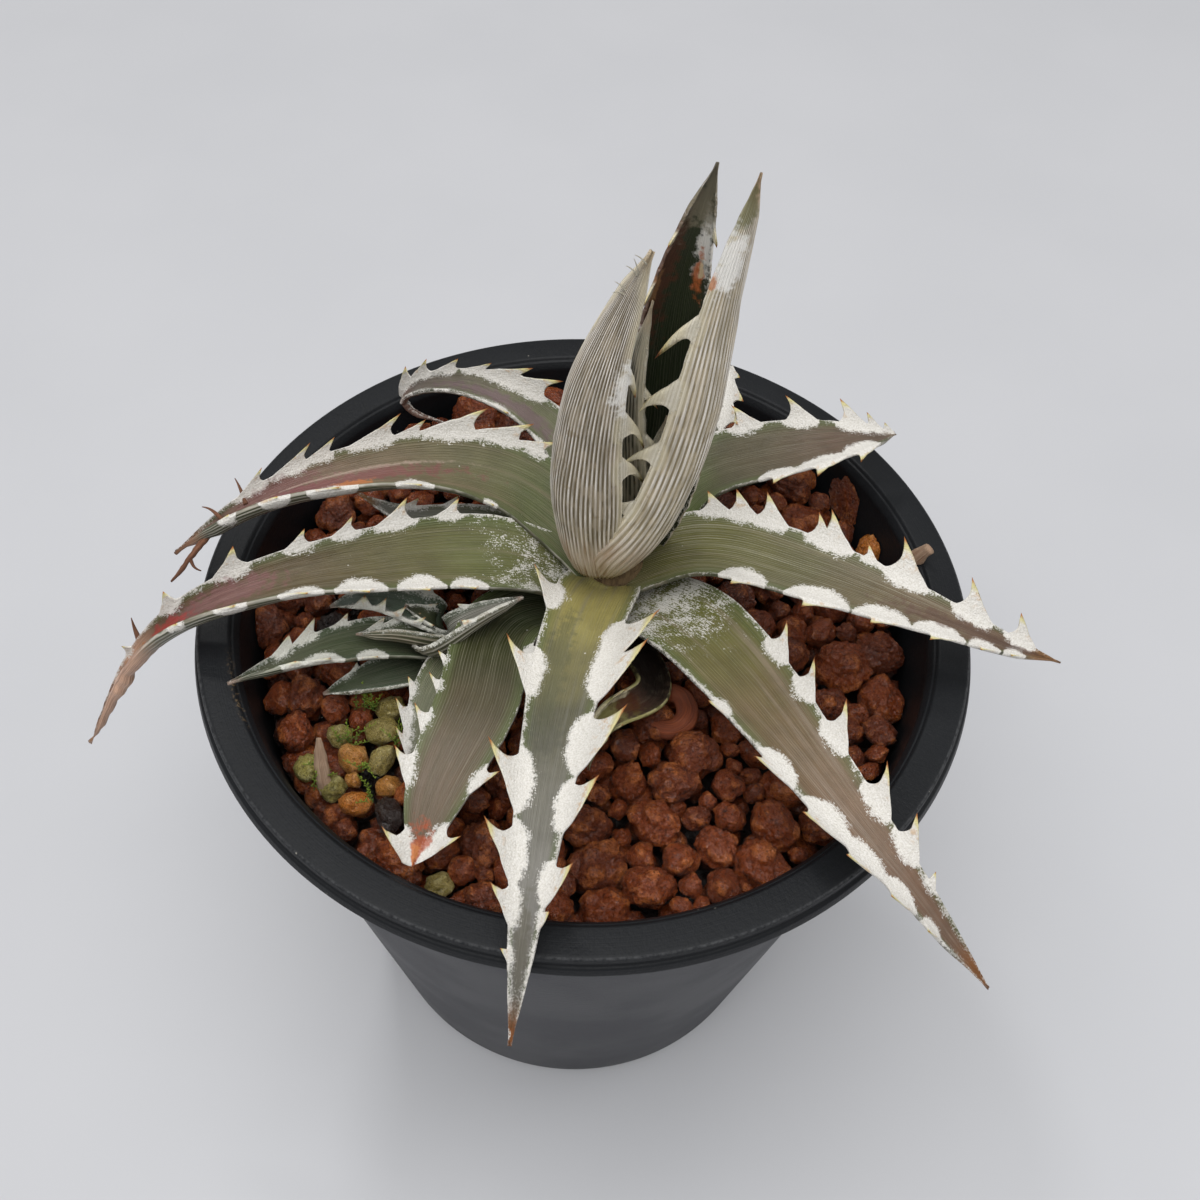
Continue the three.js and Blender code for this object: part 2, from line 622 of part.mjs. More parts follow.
function buildPlant() {
  const group = new THREE.Group();
  const stems = [STEM, OFFSET_STEM];
  const holes = stems.map((stem) => stemSolid(stem, CLEARANCE));
  const neighbours = [...holes];
  addPiece(group, 'pot', potSolid(), FINISH.pot);
  addPiece(group, 'stem', stemSolid(STEM), FINISH.stem);
  addPiece(group, 'offset_stem', stemSolid(OFFSET_STEM), FINISH.stem);
  addBlades(group, COLUMN, 2, 'column', neighbours);
  addBlades(group, ROSETTE, 1, 'leaf', neighbours);
  addBlades(group, OFFSET, 1, 'leaf', neighbours);
  for (const chip of CHIPS) {
    addPiece(group, chip.name, chipSolid(chip), FINISH.bark);
    neighbours.push(chipSolid(chip, CLEARANCE));
  }
  addPiece(group, 'soil', soilSolid(holes, neighbours.slice(holes.length)), FINISH.soil);
  return group;
}

export default buildPlant();
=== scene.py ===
"""Looks of a toothed bromeliad with one offset, growing in a round black plastic pot.

Lengths are in millimetres until a mesh is made, +Z is up and the front is -Y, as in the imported
model. The blades, the grains and the pot repeat the driving dimensions of the part's solids.
"""

import logging
from dataclasses import dataclass, field, replace
from enum import Enum
from math import radians, tau
from typing import Any

import bpy
import numpy as np
from mathutils import Matrix


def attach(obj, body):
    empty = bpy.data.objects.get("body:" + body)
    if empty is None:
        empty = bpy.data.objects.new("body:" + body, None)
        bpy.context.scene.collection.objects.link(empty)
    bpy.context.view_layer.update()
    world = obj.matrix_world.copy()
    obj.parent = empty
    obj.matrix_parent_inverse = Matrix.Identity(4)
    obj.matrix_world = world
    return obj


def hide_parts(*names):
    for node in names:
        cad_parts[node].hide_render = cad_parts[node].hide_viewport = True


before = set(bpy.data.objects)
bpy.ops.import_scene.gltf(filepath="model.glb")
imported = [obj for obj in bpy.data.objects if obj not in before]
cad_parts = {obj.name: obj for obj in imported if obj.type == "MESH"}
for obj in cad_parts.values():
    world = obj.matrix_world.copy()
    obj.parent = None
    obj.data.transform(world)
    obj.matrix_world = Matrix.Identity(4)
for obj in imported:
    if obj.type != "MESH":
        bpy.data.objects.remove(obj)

log = logging.getLogger("dyckia")

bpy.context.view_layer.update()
BODY = "root"
MM = 0.001  # metres in a millimetre

Array = np.ndarray
Socket = bpy.types.NodeSocket
Material = bpy.types.Material
Piece = bpy.types.Object
Colour = tuple[float, float, float, float]
Pair = tuple[float, float]
Teeth = tuple[Pair, ...]
Point = tuple[float, float, float]


def paint(code: str) -> Colour:
    """The linear colour of a six-digit hex code of display colours.

    Args:
        code: red, green and blue as two hexadecimal digits each.

    Returns:
        Linear red, green, blue and an alpha of one.
    """
    shown = np.array([int(code[i:i + 2], 16) / 255 for i in (0, 2, 4)])
    linear = np.where(shown <= 0.04045, shown / 12.92, ((shown + 0.055) / 1.055) ** 2.4)
    return (*(float(x) for x in linear), 1.0)


# ---- numbers and noise


def smooth(low: float, high: float, value: Array) -> Array:
    """An S-shaped step from 0 at low to 1 at high."""
    share = np.clip((value - low) / (high - low), 0, 1)
    return share * share * (3 - 2 * share)


def even_steps(at: Array, values: tuple[float, ...]) -> Array:
    """Values between those given at even steps from 0 to 1, along straight lines."""
    return np.interp(at, np.linspace(0, 1, len(values)), values)


def unit(vectors: Array) -> Array:
    """The vectors at length one."""
    return vectors / np.linalg.norm(vectors, axis=-1, keepdims=True)


def lattice_noise(points: Array, seed: int) -> Array:
    """Smooth noise from -1 to 1: random values on a unit lattice, blended by smooth steps.

    Args:
        points: places in lattice units, three numbers each.
        seed: picks another noise.

    Returns:
        One value for each point.
    """
    cell = np.floor(points).astype(np.int64)
    part = points - cell
    part = part * part * (3 - 2 * part)
    total = np.zeros(points.shape[:-1])
    for corner in np.ndindex(2, 2, 2):
        at = cell + np.array(corner)
        mixed = at[..., 0] * 374761393 + at[..., 1] * 668265263 + at[..., 2] * 2147483647
        mixed = (mixed + seed * 1442695041) & 0xFFFFFFFF
        mixed = ((mixed ^ (mixed >> 13)) * 1274126177) & 0xFFFFFFFF
        value = (mixed ^ (mixed >> 16)) / 0xFFFFFFFF
        share = np.prod(np.where(np.array(corner), part, 1 - part), axis=-1)
        total += value * share
    return 2 * total - 1


def line_noise(run: Array, period: float, seed: int) -> Array:
    """Smooth noise from -1 to 1 along a line, with that distance between its random values."""
    points = np.stack([run / period, np.full_like(run, 0.5), np.full_like(run, 0.5)], axis=-1)
    return lattice_noise(points, seed)


def along_path(path: tuple[Point, ...], places: Array) -> tuple[Array, Array, float]:
    """Points and directions at shares of a path's length.

    The path is a uniform cubic B-spline; its end points are reflected so that it starts and
    ends on them.

    Args:
        path: the spline's points.
        places: shares from 0 to 1.

    Returns:
        Points, unit directions and the length.
    """
    given = np.array(path, float)
    full = np.vstack([2 * given[0] - given[1], given, 2 * given[-1] - given[-2]])
    spans = len(given) - 1

    def blend(t: Array, slope: bool) -> Array:
        """Points of the spline, or its slopes.

        Args:
            t: places, counted in spans.
            slope: asks for the slopes.

        Returns:
            Three numbers for each place.
        """
        span = np.minimum(t.astype(int), spans - 1)
        f = (t - span)[:, None]
        if slope:
            rows = [-3 * (1 - f) ** 2, 9 * f ** 2 - 12 * f, -9 * f ** 2 + 6 * f + 3, 3 * f ** 2]
        else:
            rows = [(1 - f) ** 3, 3 * f ** 3 - 6 * f ** 2 + 4, -3 * f ** 3 + 3 * f ** 2 + 3 * f + 1, f ** 3]
        return sum(row * full[span + k] for k, row in enumerate(rows)) / 6

    fine = np.linspace(0, spans, 60 * spans + 1)
    steps = np.linalg.norm(np.diff(blend(fine, False), axis=0), axis=1)
    run = np.concatenate([[0], np.cumsum(steps)])
    t = np.interp(places * run[-1], run, fine)
    return blend(t, False), unit(blend(t, True)), float(run[-1])


# ---- surfaces and meshes


def placed(name: str, data: bpy.types.ID) -> Piece:
    """A new object in the scene that holds a mesh, a lamp or a camera."""
    made = bpy.data.objects.new(name, data)
    bpy.context.scene.collection.objects.link(made)
    return made


@dataclass
class Surface:
    """Points in millimetres with triangles, and values on the points."""

    points: Array
    faces: Array
    marks: dict[str, Array] = field(default_factory=dict)
    uv: Array | None = None

    def joined(self, others: list["Surface"]) -> "Surface":
        """This surface and others of the same kind as one.

        Args:
            others: surfaces with the same marks.

        Returns:
            The joined surface.
        """
        every = [self, *others]
        starts = np.cumsum([0, *(len(s.points) for s in every[:-1])])
        marks = {k: np.concatenate([s.marks[k] for s in every]) for k in self.marks}
        uv = None if self.uv is None else np.concatenate([s.uv for s in every])
        faces = np.concatenate([s.faces + start for s, start in zip(every, starts)])
        return Surface(np.concatenate([s.points for s in every]), faces, marks, uv)

    def piece(self, name: str, material: Material, slot: str, nodes: tuple[str, ...] = ()) -> Piece:
        """Makes the surface a piece that rides on the part's body.

        Args:
            name: the piece's name.
            material: its finish.
            slot: not used.
            nodes: the solids that it stands for.

        Returns:
            The new object.
        """
        mesh = bpy.data.meshes.new(name)
        mesh.vertices.add(len(self.points))
        mesh.vertices.foreach_set("co", (self.points * MM).astype(np.float32).ravel())
        mesh.loops.add(self.faces.size)
        mesh.loops.foreach_set("vertex_index", self.faces.astype(np.int32).ravel())
        mesh.polygons.add(len(self.faces))
        mesh.polygons.foreach_set("loop_start", np.arange(0, self.faces.size, 3, dtype=np.int32))
        mesh.polygons.foreach_set("use_smooth", np.ones(len(self.faces), bool))
        mesh.update(calc_edges=True)
        for mark, values in self.marks.items():
            layer = mesh.attributes.new(mark, "FLOAT", "POINT")
            layer.data.foreach_set("value", values.astype(np.float32))
        if self.uv is not None:
            layer = mesh.uv_layers.new(name="UVMap")
            layer.data.foreach_set("uv", self.uv[self.faces.ravel()].astype(np.float32).ravel())
        mesh.validate()
        mesh.materials.append(material)
        made = placed(name, mesh)
        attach(made, BODY)
        if nodes:
            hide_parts(*nodes)
        log.info("%s: %d triangles", name, len(self.faces))
        return made


def grid_faces(index: Array) -> Array:
    """Two triangles between neighbours in a table of point numbers, none with a corner twice."""
    a, b, c, d = (part.ravel() for part in (index[:-1, :-1], index[1:, :-1], index[1:, 1:], index[:-1, 1:]))
    faces = np.concatenate([np.stack([a, b, c], axis=-1), np.stack([a, c, d], axis=-1)])
    firm = (faces[:, 0] != faces[:, 1]) & (faces[:, 1] != faces[:, 2]) & (faces[:, 2] != faces[:, 0])
    return faces[firm]


def turned_grid(profile: Array, segments: int) -> tuple[Array, Array]:
    """A profile turned about the Z axis: radius cos angle, radius sin angle, height.

    Args:
        profile: radius and height of each point, from the axis round to the axis again, the
            way that leaves the material on the left.
        segments: steps round the axis.

    Returns:
        Points and a table of their numbers, whose first and last rows are the two poles.
    """
    angle = np.arange(segments) * tau / segments
    x = profile[1:-1, 0, None] * np.cos(angle)
    y = profile[1:-1, 0, None] * np.sin(angle)
    z = np.broadcast_to(profile[1:-1, 1, None], x.shape)
    poles = [[0, 0, profile[0, 1]], [0, 0, profile[-1, 1]]]
    points = np.vstack([np.stack([x, y, z], axis=-1).reshape(-1, 3), poles])
    table = np.arange(x.size).reshape(x.shape)
    first, last = np.full((1, segments), x.size), np.full((1, segments), x.size + 1)
    table = np.concatenate([first, table, last])
    return points, np.concatenate([table, table[:, :1]], axis=1)


def sphere_mesh(levels: int) -> tuple[Array, Array]:
    """A unit sphere of triangles: an icosahedron whose faces are split in four, level times.

    Args:
        levels: how often each triangle is split.

    Returns:
        Directions of the points, and three point numbers for each face.
    """
    golden = (1 + 5 ** 0.5) / 2
    flat = np.array([[-1, golden, 0], [1, golden, 0], [-1, -golden, 0], [1, -golden, 0]])
    points = unit(np.vstack([flat, np.roll(flat, 1, axis=1), np.roll(flat, 2, axis=1)]))
    near = np.linalg.norm(points[:, None] - points[None], axis=-1)
    linked = (near > 0.1) & (near < 1.1)
    a, b, c = np.nonzero(linked[:, :, None] & linked[:, None, :] & linked[None, :, :])
    faces = np.stack([a, b, c], axis=-1)[(a < b) & (b < c)]
    turn = np.einsum("ij,ij->i", np.cross(points[faces[:, 0]], points[faces[:, 1]]), points[faces[:, 2]])
    faces[turn < 0] = faces[turn < 0][:, ::-1]
    for _ in range(levels):
        sides = np.sort(np.stack([faces, np.roll(faces, -1, axis=1)], axis=-1).reshape(-1, 2), axis=1)
        edges, place = np.unique(sides, axis=0, return_inverse=True)
        middle = place.reshape(-1, 3) + len(points)
        points = unit(np.vstack([points, points[edges].mean(axis=1)]))
        a, b, c = faces.T
        ab, bc, ca = middle.T
        split = [(a, ab, ca), (ab, b, bc), (ca, bc, c), (ab, bc, ca)]
        faces = np.concatenate([np.stack(corner, axis=-1) for corner in split])
    return points, faces


# ---- shaders


class Value:
    """An output in a shader tree. Sums, products and so on of such values make more nodes."""

    def __init__(self, tree: "ShaderTree", socket: Socket) -> None:
        """Holds the output."""
        self.tree, self.socket = tree, socket

    def __add__(self, other: "Value | float") -> "Value":
        """The sum."""
        return self.tree.math("ADD", self, other)

    def __sub__(self, other: "Value | float") -> "Value":
        """The difference."""
        return self.tree.math("SUBTRACT", self, other)

    def __rsub__(self, other: float) -> "Value":
        """A plain number less the value."""
        return self.tree.math("SUBTRACT", other, self)

    def __mul__(self, other: "Value | float") -> "Value":
        """The product."""
        return self.tree.math("MULTIPLY", self, other)

    def __truediv__(self, other: "Value | float") -> "Value":
        """The quotient."""
        return self.tree.math("DIVIDE", self, other)


Feed = Value | float | str  # what a socket takes; a text is a colour's hex code


class ShaderTree:
    """Short calls that add nodes to a material's or a group's tree."""

    def __init__(self, tree: bpy.types.NodeTree) -> None:
        """Works on that tree."""
        self.tree = tree

    def node(self, kind: str, **settings: Any) -> bpy.types.Node:
        """A new node of that kind with those properties."""
        made = self.tree.nodes.new(kind)
        for name, value in settings.items():
            setattr(made, name, value)
        return made

    def feed(self, socket: Socket, value: Feed) -> None:
        """Links a value to the socket, or sets the socket's own."""
        if isinstance(value, Value):
            self.tree.links.new(value.socket, socket)
        else:
            socket.default_value = paint(value) if isinstance(value, str) else value

    def out(self, made: bpy.types.Node, output: int | str = 0) -> Value:
        """An output of a node."""
        return Value(self, made.outputs[output])

    def math(self, operation: str, a: Feed, b: Feed = 0.0) -> Value:
        """One sum on two values."""
        made = self.node("ShaderNodeMath", operation=operation)
        self.feed(made.inputs[0], a)
        self.feed(made.inputs[1], b)
        return self.out(made)

    def step(self, value: Value, low: Feed, high: Feed, start: float = 0.0, end: float = 1.0) -> Value:
        """An S-shaped change from start to end as the value goes from low to high."""
        made = self.node("ShaderNodeMapRange", interpolation_type="SMOOTHSTEP")
        for socket, given in zip(made.inputs, (value, low, high, start, end)):
            self.feed(socket, given)
        return self.out(made)

    def mix(self, share: Feed, a: Feed, b: Feed, blend: str = "MIX") -> Value:
        """Colour a, with that share of colour b blended in."""
        made = self.node("ShaderNodeMix", data_type="RGBA", blend_type=blend)
        self.feed(made.inputs[0], share)
        self.feed(made.inputs[6], a)
        self.feed(made.inputs[7], b)
        return self.out(made, 2)

    def noise(self, at: Value, scale: Feed, detail: float = 2.0, roughness: float = 0.5) -> Value:
        """Noise from 0 to 1 at a place."""
        made = self.node("ShaderNodeTexNoise")
        self.feed(made.inputs["Vector"], at)
        self.feed(made.inputs["Scale"], scale)
        self.feed(made.inputs["Detail"], detail)
        self.feed(made.inputs["Roughness"], roughness)
        return self.out(made)

    def stretched(self, at: Value, scale: Point) -> Value:
        """A place with each of its axes scaled."""
        made = self.node("ShaderNodeMapping")
        self.feed(made.inputs["Vector"], at)
        made.inputs["Scale"].default_value = scale
        return self.out(made)

    def ramp(self, value: Value, stops: list[tuple[float, str]]) -> Value:
        """Colours along a value.

        Args:
            value: from 0 to 1.
            stops: places and hex codes, in order.

        Returns:
            The colour.
        """
        made = self.node("ShaderNodeValToRGB")
        self.feed(made.inputs[0], value)
        band = made.color_ramp
        for element, (place, code) in zip(band.elements, (stops[0], stops[-1])):
            element.position, element.color = place, paint(code)
        for place, code in stops[1:-1]:
            band.elements.new(place).color = paint(code)
        return self.out(made)

    def mark(self, name: str) -> Value:
        """A value that the mesh holds on its points."""
        return self.out(self.node("ShaderNodeAttribute", attribute_name=name), "Fac")

    def coordinates(self, kind: str) -> Value:
        """Object or UV coordinates."""
        return self.out(self.node("ShaderNodeTexCoord"), kind)

    def split(self, vector: Value) -> tuple[Value, ...]:
        """The three parts of a vector."""
        made = self.node("ShaderNodeSeparateXYZ")
        self.feed(made.inputs[0], vector)
        return tuple(Value(self, part) for part in made.outputs)

    def vector(self, x: Feed, y: Feed, z: Feed) -> Value:
        """A vector from its three parts."""
        made = self.node("ShaderNodeCombineXYZ")
        for socket, given in zip(made.inputs, (x, y, z)):
            self.feed(socket, given)
        return self.out(made)

    def effect(self, wanted: "Effect", **values: Feed) -> Value:
        """The output of a shared effect with those inputs."""
        made = self.node("ShaderNodeGroup", node_tree=bpy.data.node_groups[wanted.value])
        for name, given in values.items():
            self.feed(made.inputs[name], given)
        return self.out(made)

    def bump(self, height: Value, depth: float, over: Value | None = None) -> Value:
        """A normal from a height of 0 to 1 that stands for that depth in millimetres."""
        made = self.node("ShaderNodeBump")
        made.inputs["Distance"].default_value = depth * MM
        self.feed(made.inputs["Height"], height)
        if over is not None:
            self.feed(made.inputs["Normal"], over)
        return self.out(made)


class Finish(ShaderTree):
    """The tree of a new material with one Principled shader."""

    def __init__(self, name: str, roughness: float, **constants: float) -> None:
        """Makes the material.

        Args:
            name: the material's name.
            roughness: its plain roughness.
            **constants: other sockets by name, with underscores for spaces.
        """
        self.material = bpy.data.materials.new(name)
        self.material.use_nodes = True
        super().__init__(self.material.node_tree)
        self.shader = self.tree.nodes["Principled BSDF"]
        for socket, value in {"Roughness": roughness, **constants}.items():
            self.put(socket.replace("_", " "), value)

    def put(self, socket: str, value: Feed) -> None:
        """Feeds the shader's socket of that name."""
        self.feed(self.shader.inputs[socket], value)


class Effect(Enum):
    """The shared effects, by the name of their node group."""

    FIBRES = "Fibre lines"
    RAGGED = "Ragged edge"
    POWDER = "Powder specks"
    SPECKS = "Dust specks"
    MOTTLE = "Mottling"


class Effects:
    """Shared shader groups. Each puts out one value that changes over the surface."""

    def build(self) -> None:
        """Builds every group once."""
        self.fibres()
        self.ragged()
        self.powder()
        self.specks()
        self.mottle()

    @staticmethod
    def group(effect: Effect, inputs: dict[str, float | None]) -> tuple[ShaderTree, dict[str, Value], Socket]:
        """A new group with those inputs and one output.

        Args:
            effect: names the group.
            inputs: values to start from; None stands for a vector.

        Returns:
            The tree, the group's inputs and the socket that takes its result.
        """
        tree = bpy.data.node_groups.new(effect.value, "ShaderNodeTree")
        for name, start in inputs.items():
            kind = "NodeSocketVector" if start is None else "NodeSocketFloat"
            socket = tree.interface.new_socket(name, in_out="INPUT", socket_type=kind)
            if start is not None:
                socket.default_value = start
        tree.interface.new_socket("Value", in_out="OUTPUT", socket_type="NodeSocketFloat")
        made = ShaderTree(tree)
        source = made.node("NodeGroupInput")
        return made, {name: made.out(source, name) for name in inputs}, made.node("NodeGroupOutput").inputs[0]

    def fibres(self) -> None:
        """Fine lines along a blade: a sine across it, whose phase and strength wander."""
        inputs = {"Map": None, "Count": 20.0, "Wander": 0.4, "Width": 0.5, "Shift": 0.0}
        t, given, result = self.group(Effect.FIBRES, inputs)
        along, across, _ = t.split(given["Map"])
        drift = t.noise(t.vector(along * 90, across * 9, 0.0), 1.0)
        phase = across * given["Count"] + drift * given["Wander"]
        wave = t.math("SINE", (phase + given["Shift"]) * tau)
        raised = wave * 0.5 + given["Width"]
        lines = t.step(raised, 0.35, 0.9)
        strength = t.noise(t.vector(along * 160, across * 40, 3.0), 1.0, 3)
        t.feed(result, lines * t.step(strength, 0.3, 0.65, 0.25, 1.0))

    def ragged(self) -> None:
        """A mask from a distance in millimetres, with a grainy edge."""
        t, given, result = self.group(Effect.RAGGED, {"Place": None, "Distance": 0.0, "Spread": 0.5})
        coarse = t.noise(given["Place"], 1300, 2)
        fine = t.noise(given["Place"], 5200, 2)
        rough = coarse * 1.1 + fine * 0.9
        shift = (rough - 1.0) * (given["Spread"] * 2.4)
        t.feed(result, t.step(given["Distance"] + shift, -0.22, 0.26))

    def powder(self) -> None:
        """Small flecks in loose clouds, as an amount from 0 to 1 asks."""
        t, given, result = self.group(Effect.POWDER, {"Place": None, "Map": None, "Amount": 0.5})
        flecks = t.noise(given["Place"], 4200, 1)
        drawn = t.noise(t.stretched(given["Map"], (900.0, 75.0, 1.0)), 1.0, 3)
        clouds = t.noise(given["Place"], 420, 2)
        both = flecks * 0.5 + drawn * 0.5
        level = both + (clouds - 0.5) * 0.5
        low = 0.8 - given["Amount"] * 0.4
        t.feed(result, t.step(level, low, low + 0.09))

    def specks(self) -> None:
        """Sparse round specks: small discs round scattered points, most of them left out."""
        t, given, result = self.group(Effect.SPECKS, {"Place": None, "Scale": 300.0, "Share": 0.2})
        made = t.node("ShaderNodeTexVoronoi")
        t.feed(made.inputs["Vector"], given["Place"])
        t.feed(made.inputs["Scale"], given["Scale"])
        chance, size, _ = t.split(t.out(made, "Color"))
        disc = t.step(t.out(made, "Distance"), size * 0.12, 0.0)
        t.feed(result, disc * t.math("LESS_THAN", chance, given["Share"]))

    def mottle(self) -> None:
        """Soft light and dark patches from two sizes of noise."""
        t, given, result = self.group(Effect.MOTTLE, {"Place": None, "Scale": 300.0})
        t.feed(result, t.step(t.noise(given["Place"], given["Scale"], 4.0), 0.25, 0.75))


# ---- finishes


@dataclass(frozen=True)
class Spot:
    """A ragged patch of another colour on a blade.

    at and across are its middle, along the blade from the foot and across it from the right
    margin, and reach and spread half its size in the same measures.
    """

    at: float
    reach: float
    across: float
    spread: float
    colour: str
    share: float = 0.9

    def over(self, t: ShaderTree, colour: Value, along: Value, width: Value, rough: Value) -> Value:
        """Lays the patch over a colour.

        Args:
            t: the material's tree.
            colour: what lies beneath.
            along: places along the blade.
            width: places across it.
            rough: noise that frays the edge.

        Returns:
            The colour with the patch.
        """
        apart = (along - self.at) / self.reach
        aside = (width - self.across) / self.spread
        squares = apart * apart + aside * aside
        edge = t.math("SQRT", squares) + (rough - 0.5) * 2.6
        return t.mix(t.step(edge, 1.25, 0.55, 0.0, self.share), colour, self.colour)


@dataclass(frozen=True)
class BladeFinish:
    """Colours and marks of one blade. Places run from 0 at the foot to 1 at the tip."""

    foot: str = "7c7a52"
    middle: str = "6f6f58"
    outer: str = "6e6560"
    end: str = "b98a5c"
    edge: str = "5d6a3c"
    dry_from: float = 0.93
    band: str = "8b8068"
    band_share: float = 0.4
    line: str = "b4b09a"
    line_share: float = 0.22
    line_count: float = 30.0
    thread_share: float = 0.2
    streak_share: float = 0.3
    scratch_share: float = 0.0
    speck_share: float = 0.25
    spots: tuple[Spot, ...] = ()
    powder_share: float = 0.15
    powder_to: float = 0.4
    under_pale: str = "c4c1b6"
    under_dark: str = "4d4f3b"
    under_count: float = 13.0
    under_patch: str = "8d7f6c"
    under_patch_share: float = 0.25
    under_width: float = 0.56
    under_foot: str = "86684c"
    under_foot_to: float = 0.0
    joint_share: float = 0.0
    scurf: str = "efece7"
    scurf_share: float = 1.0
    tan_share: float = 0.6
    tooth: str = "cfc6a4"
    tooth_share: float = 0.0
    cream_share: float = 0.0
    horn: str = "d8cf98"
    point: str = "b5713a"
    roughness: float = 0.42
    rib_depth: float = 0.08

    def material(self, name: str) -> Material:
        """Builds the finish.

        Args:
            name: the material's name.

        Returns:
            The material.
        """
        t = Finish(name, self.roughness)
        place, flat = t.coordinates("Object"), t.coordinates("UV")
        along, under = t.mark("along"), t.mark("under")
        hook, inwards = t.mark("hook"), t.mark("scurf")
        width = t.split(flat)[1]
        rough = t.noise(place, 900, 3, 0.6)
        streaks = t.noise(t.stretched(flat, (90.0, 26.0, 1.0)), 1.0, 4, 0.6)
        shift = (0.125 - self.under_count / 2) % 1
        ribs = t.effect(Effect.FIBRES, Map=flat, Count=self.under_count, Wander=0.25,
                        Width=self.under_width, Shift=shift)
        face, relief = self.face(t, streaks, place, flat)
        back = self.back(t, ribs, streaks, flat)
        body = t.mix(t.step(under, 0.35, 0.6), face, back)
        dried = t.mix(t.step(streaks, 0.4, 0.62), self.end, t.mix(0.45, self.end, "5b3322"))
        drying = t.step(along + streaks * 0.08, self.dry_from, self.dry_from + 0.07)
        body = t.mix(drying, body, dried)
        if self.cream_share:
            body = t.mix(t.step(inwards, -1.2, -0.3, 0.0, self.cream_share), body, self.tooth)
        mask = t.effect(Effect.RAGGED, Place=place, Distance=inwards, Spread=0.42)
        scurf = mask * self.scurf_share
        felt = t.noise(place, 4600, 3, 0.7)
        white = t.mix(t.step(felt, 0.3, 0.7), t.mix(0.45, self.scurf, "aca694"), self.scurf)
        tan = t.step(rough, 0.52, 0.68, 0.0, self.tan_share) * t.step(hook, 0.1, 0.5)
        body = t.mix(scurf, body, t.mix(tan, white, "c9a06c"))
        for spot in self.spots:
            body = spot.over(t, body, along, width, rough)
        body = t.mix(t.step(hook, 0.05, 0.4, 0.0, self.tooth_share), body, self.tooth)
        rim = t.step(t.mark("rim"), 0.8, 1.0) * t.step(hook, 0.3, 0.6, 0.0, 0.45)
        body = t.mix(rim, body, self.horn)
        body = t.mix(t.step(hook, 0.56, 0.78), body, self.horn)
        body = t.mix(t.step(hook, 0.78, 0.94), body, self.point)
        t.put("Base Color", body)
        t.put("Roughness", t.step(scurf, 0.0, 1.0, self.roughness, 0.95))
        relief = (1.0 - scurf) * t.mix(under, relief, ribs)
        grain = scurf * (t.noise(place, 4200, 2) + rough * 1.4)
        first = t.bump(relief + streaks * 0.8, self.rib_depth)
        t.put("Normal", t.bump(grain, 0.14, first))
        return t.material

    def face(self, t: ShaderTree, streaks: Value, place: Value, flat: Value) -> tuple[Value, Value]:
        """Colour and relief of the inner face.

        Args:
            t: the material's tree.
            streaks: fine lengthwise noise.
            place: places on the object.
            flat: the blade's map.

        Returns:
            The colour, and a height for the bump.
        """
        along, across, inwards = t.mark("along"), t.mark("across"), t.mark("scurf")
        wavy = along + (t.noise(place, 160, 3) - 0.5) * 0.16
        colours = (self.foot, self.foot, self.middle, self.outer, self.outer)
        colour = t.ramp(wavy, list(zip((0.0, 0.2, 0.45, 0.8, 1.0), colours)))
        bands = t.noise(t.stretched(flat, (26.0, 7.0, 1.0)), 1.0, 3, 0.6)
        threads = t.noise(t.stretched(flat, (32.0, 80.0, 1.0)), 1.0, 3, 0.65)
        fibre = t.effect(Effect.FIBRES, Map=flat, Count=self.line_count, Wander=1.6, Width=0.42)
        colour = t.mix(t.step(bands, 0.46, 0.68, 0.0, self.band_share), colour, self.band)
        rim = t.step(across + streaks * 0.5, 0.85, 1.3)
        colour = t.mix(rim * 0.8, colour, self.edge)
        soft = t.step(t.noise(place, 330, 3, 0.6), 0.35, 0.7, 0.0, 0.4)
        colour = t.mix(soft, colour, t.mix(0.4, colour, "26231a"))
        colour = t.mix(t.step(streaks, 0.3, 0.7, 0.0, self.streak_share), colour, t.mix(0.4, colour, "26231a"))
        dark = t.step(threads, 0.48, 0.3, 0.0, self.thread_share)
        colour = t.mix(dark, colour, t.mix(0.45, colour, "26231a"))
        lines = (fibre + t.step(threads, 0.5, 0.68)) * self.line_share
        colour = t.mix(lines, colour, self.line)
        if self.scratch_share:
            colour = t.mix(self.scratches(t, flat), colour, "dddbd0")
        amount = t.step(along, self.powder_to, self.powder_to * 0.3) * self.powder_share
        amount = t.math("MAXIMUM", amount, t.step(inwards, -1.7, 0.1, 0.0, 0.85))
        powder = t.effect(Effect.POWDER, Place=place, Map=flat, Amount=amount)
        colour = t.mix(powder * 0.75, colour, self.scurf)
        specks = t.effect(Effect.SPECKS, Place=place, Scale=640.0, Share=self.speck_share)
        colour = t.mix(specks * 0.85, colour, self.scurf)
        height = bands * 2.0 + (fibre + threads)
        return colour, height

    def scratches(self, t: ShaderTree, flat: Value) -> Value:
        """Sparse thin scratches along the blade and askew: specks drawn out to fine lines.

        Args:
            t: the material's tree.
            flat: the blade's map.

        Returns:
            A mask.
        """
        run, width, _ = t.split(flat)
        bent = t.noise(flat, 40, 1) * 1.6
        first = t.vector(run * 34, width * 10 + bent, 2.0)
        slant = width * 9 + run * 560
        other = t.vector(run * 120, slant + bent, 5.0)
        lines = t.effect(Effect.SPECKS, Place=first, Scale=1.0, Share=0.35)
        cross = t.effect(Effect.SPECKS, Place=other, Scale=1.0, Share=0.05)
        return t.math("MAXIMUM", lines, cross) * self.scratch_share

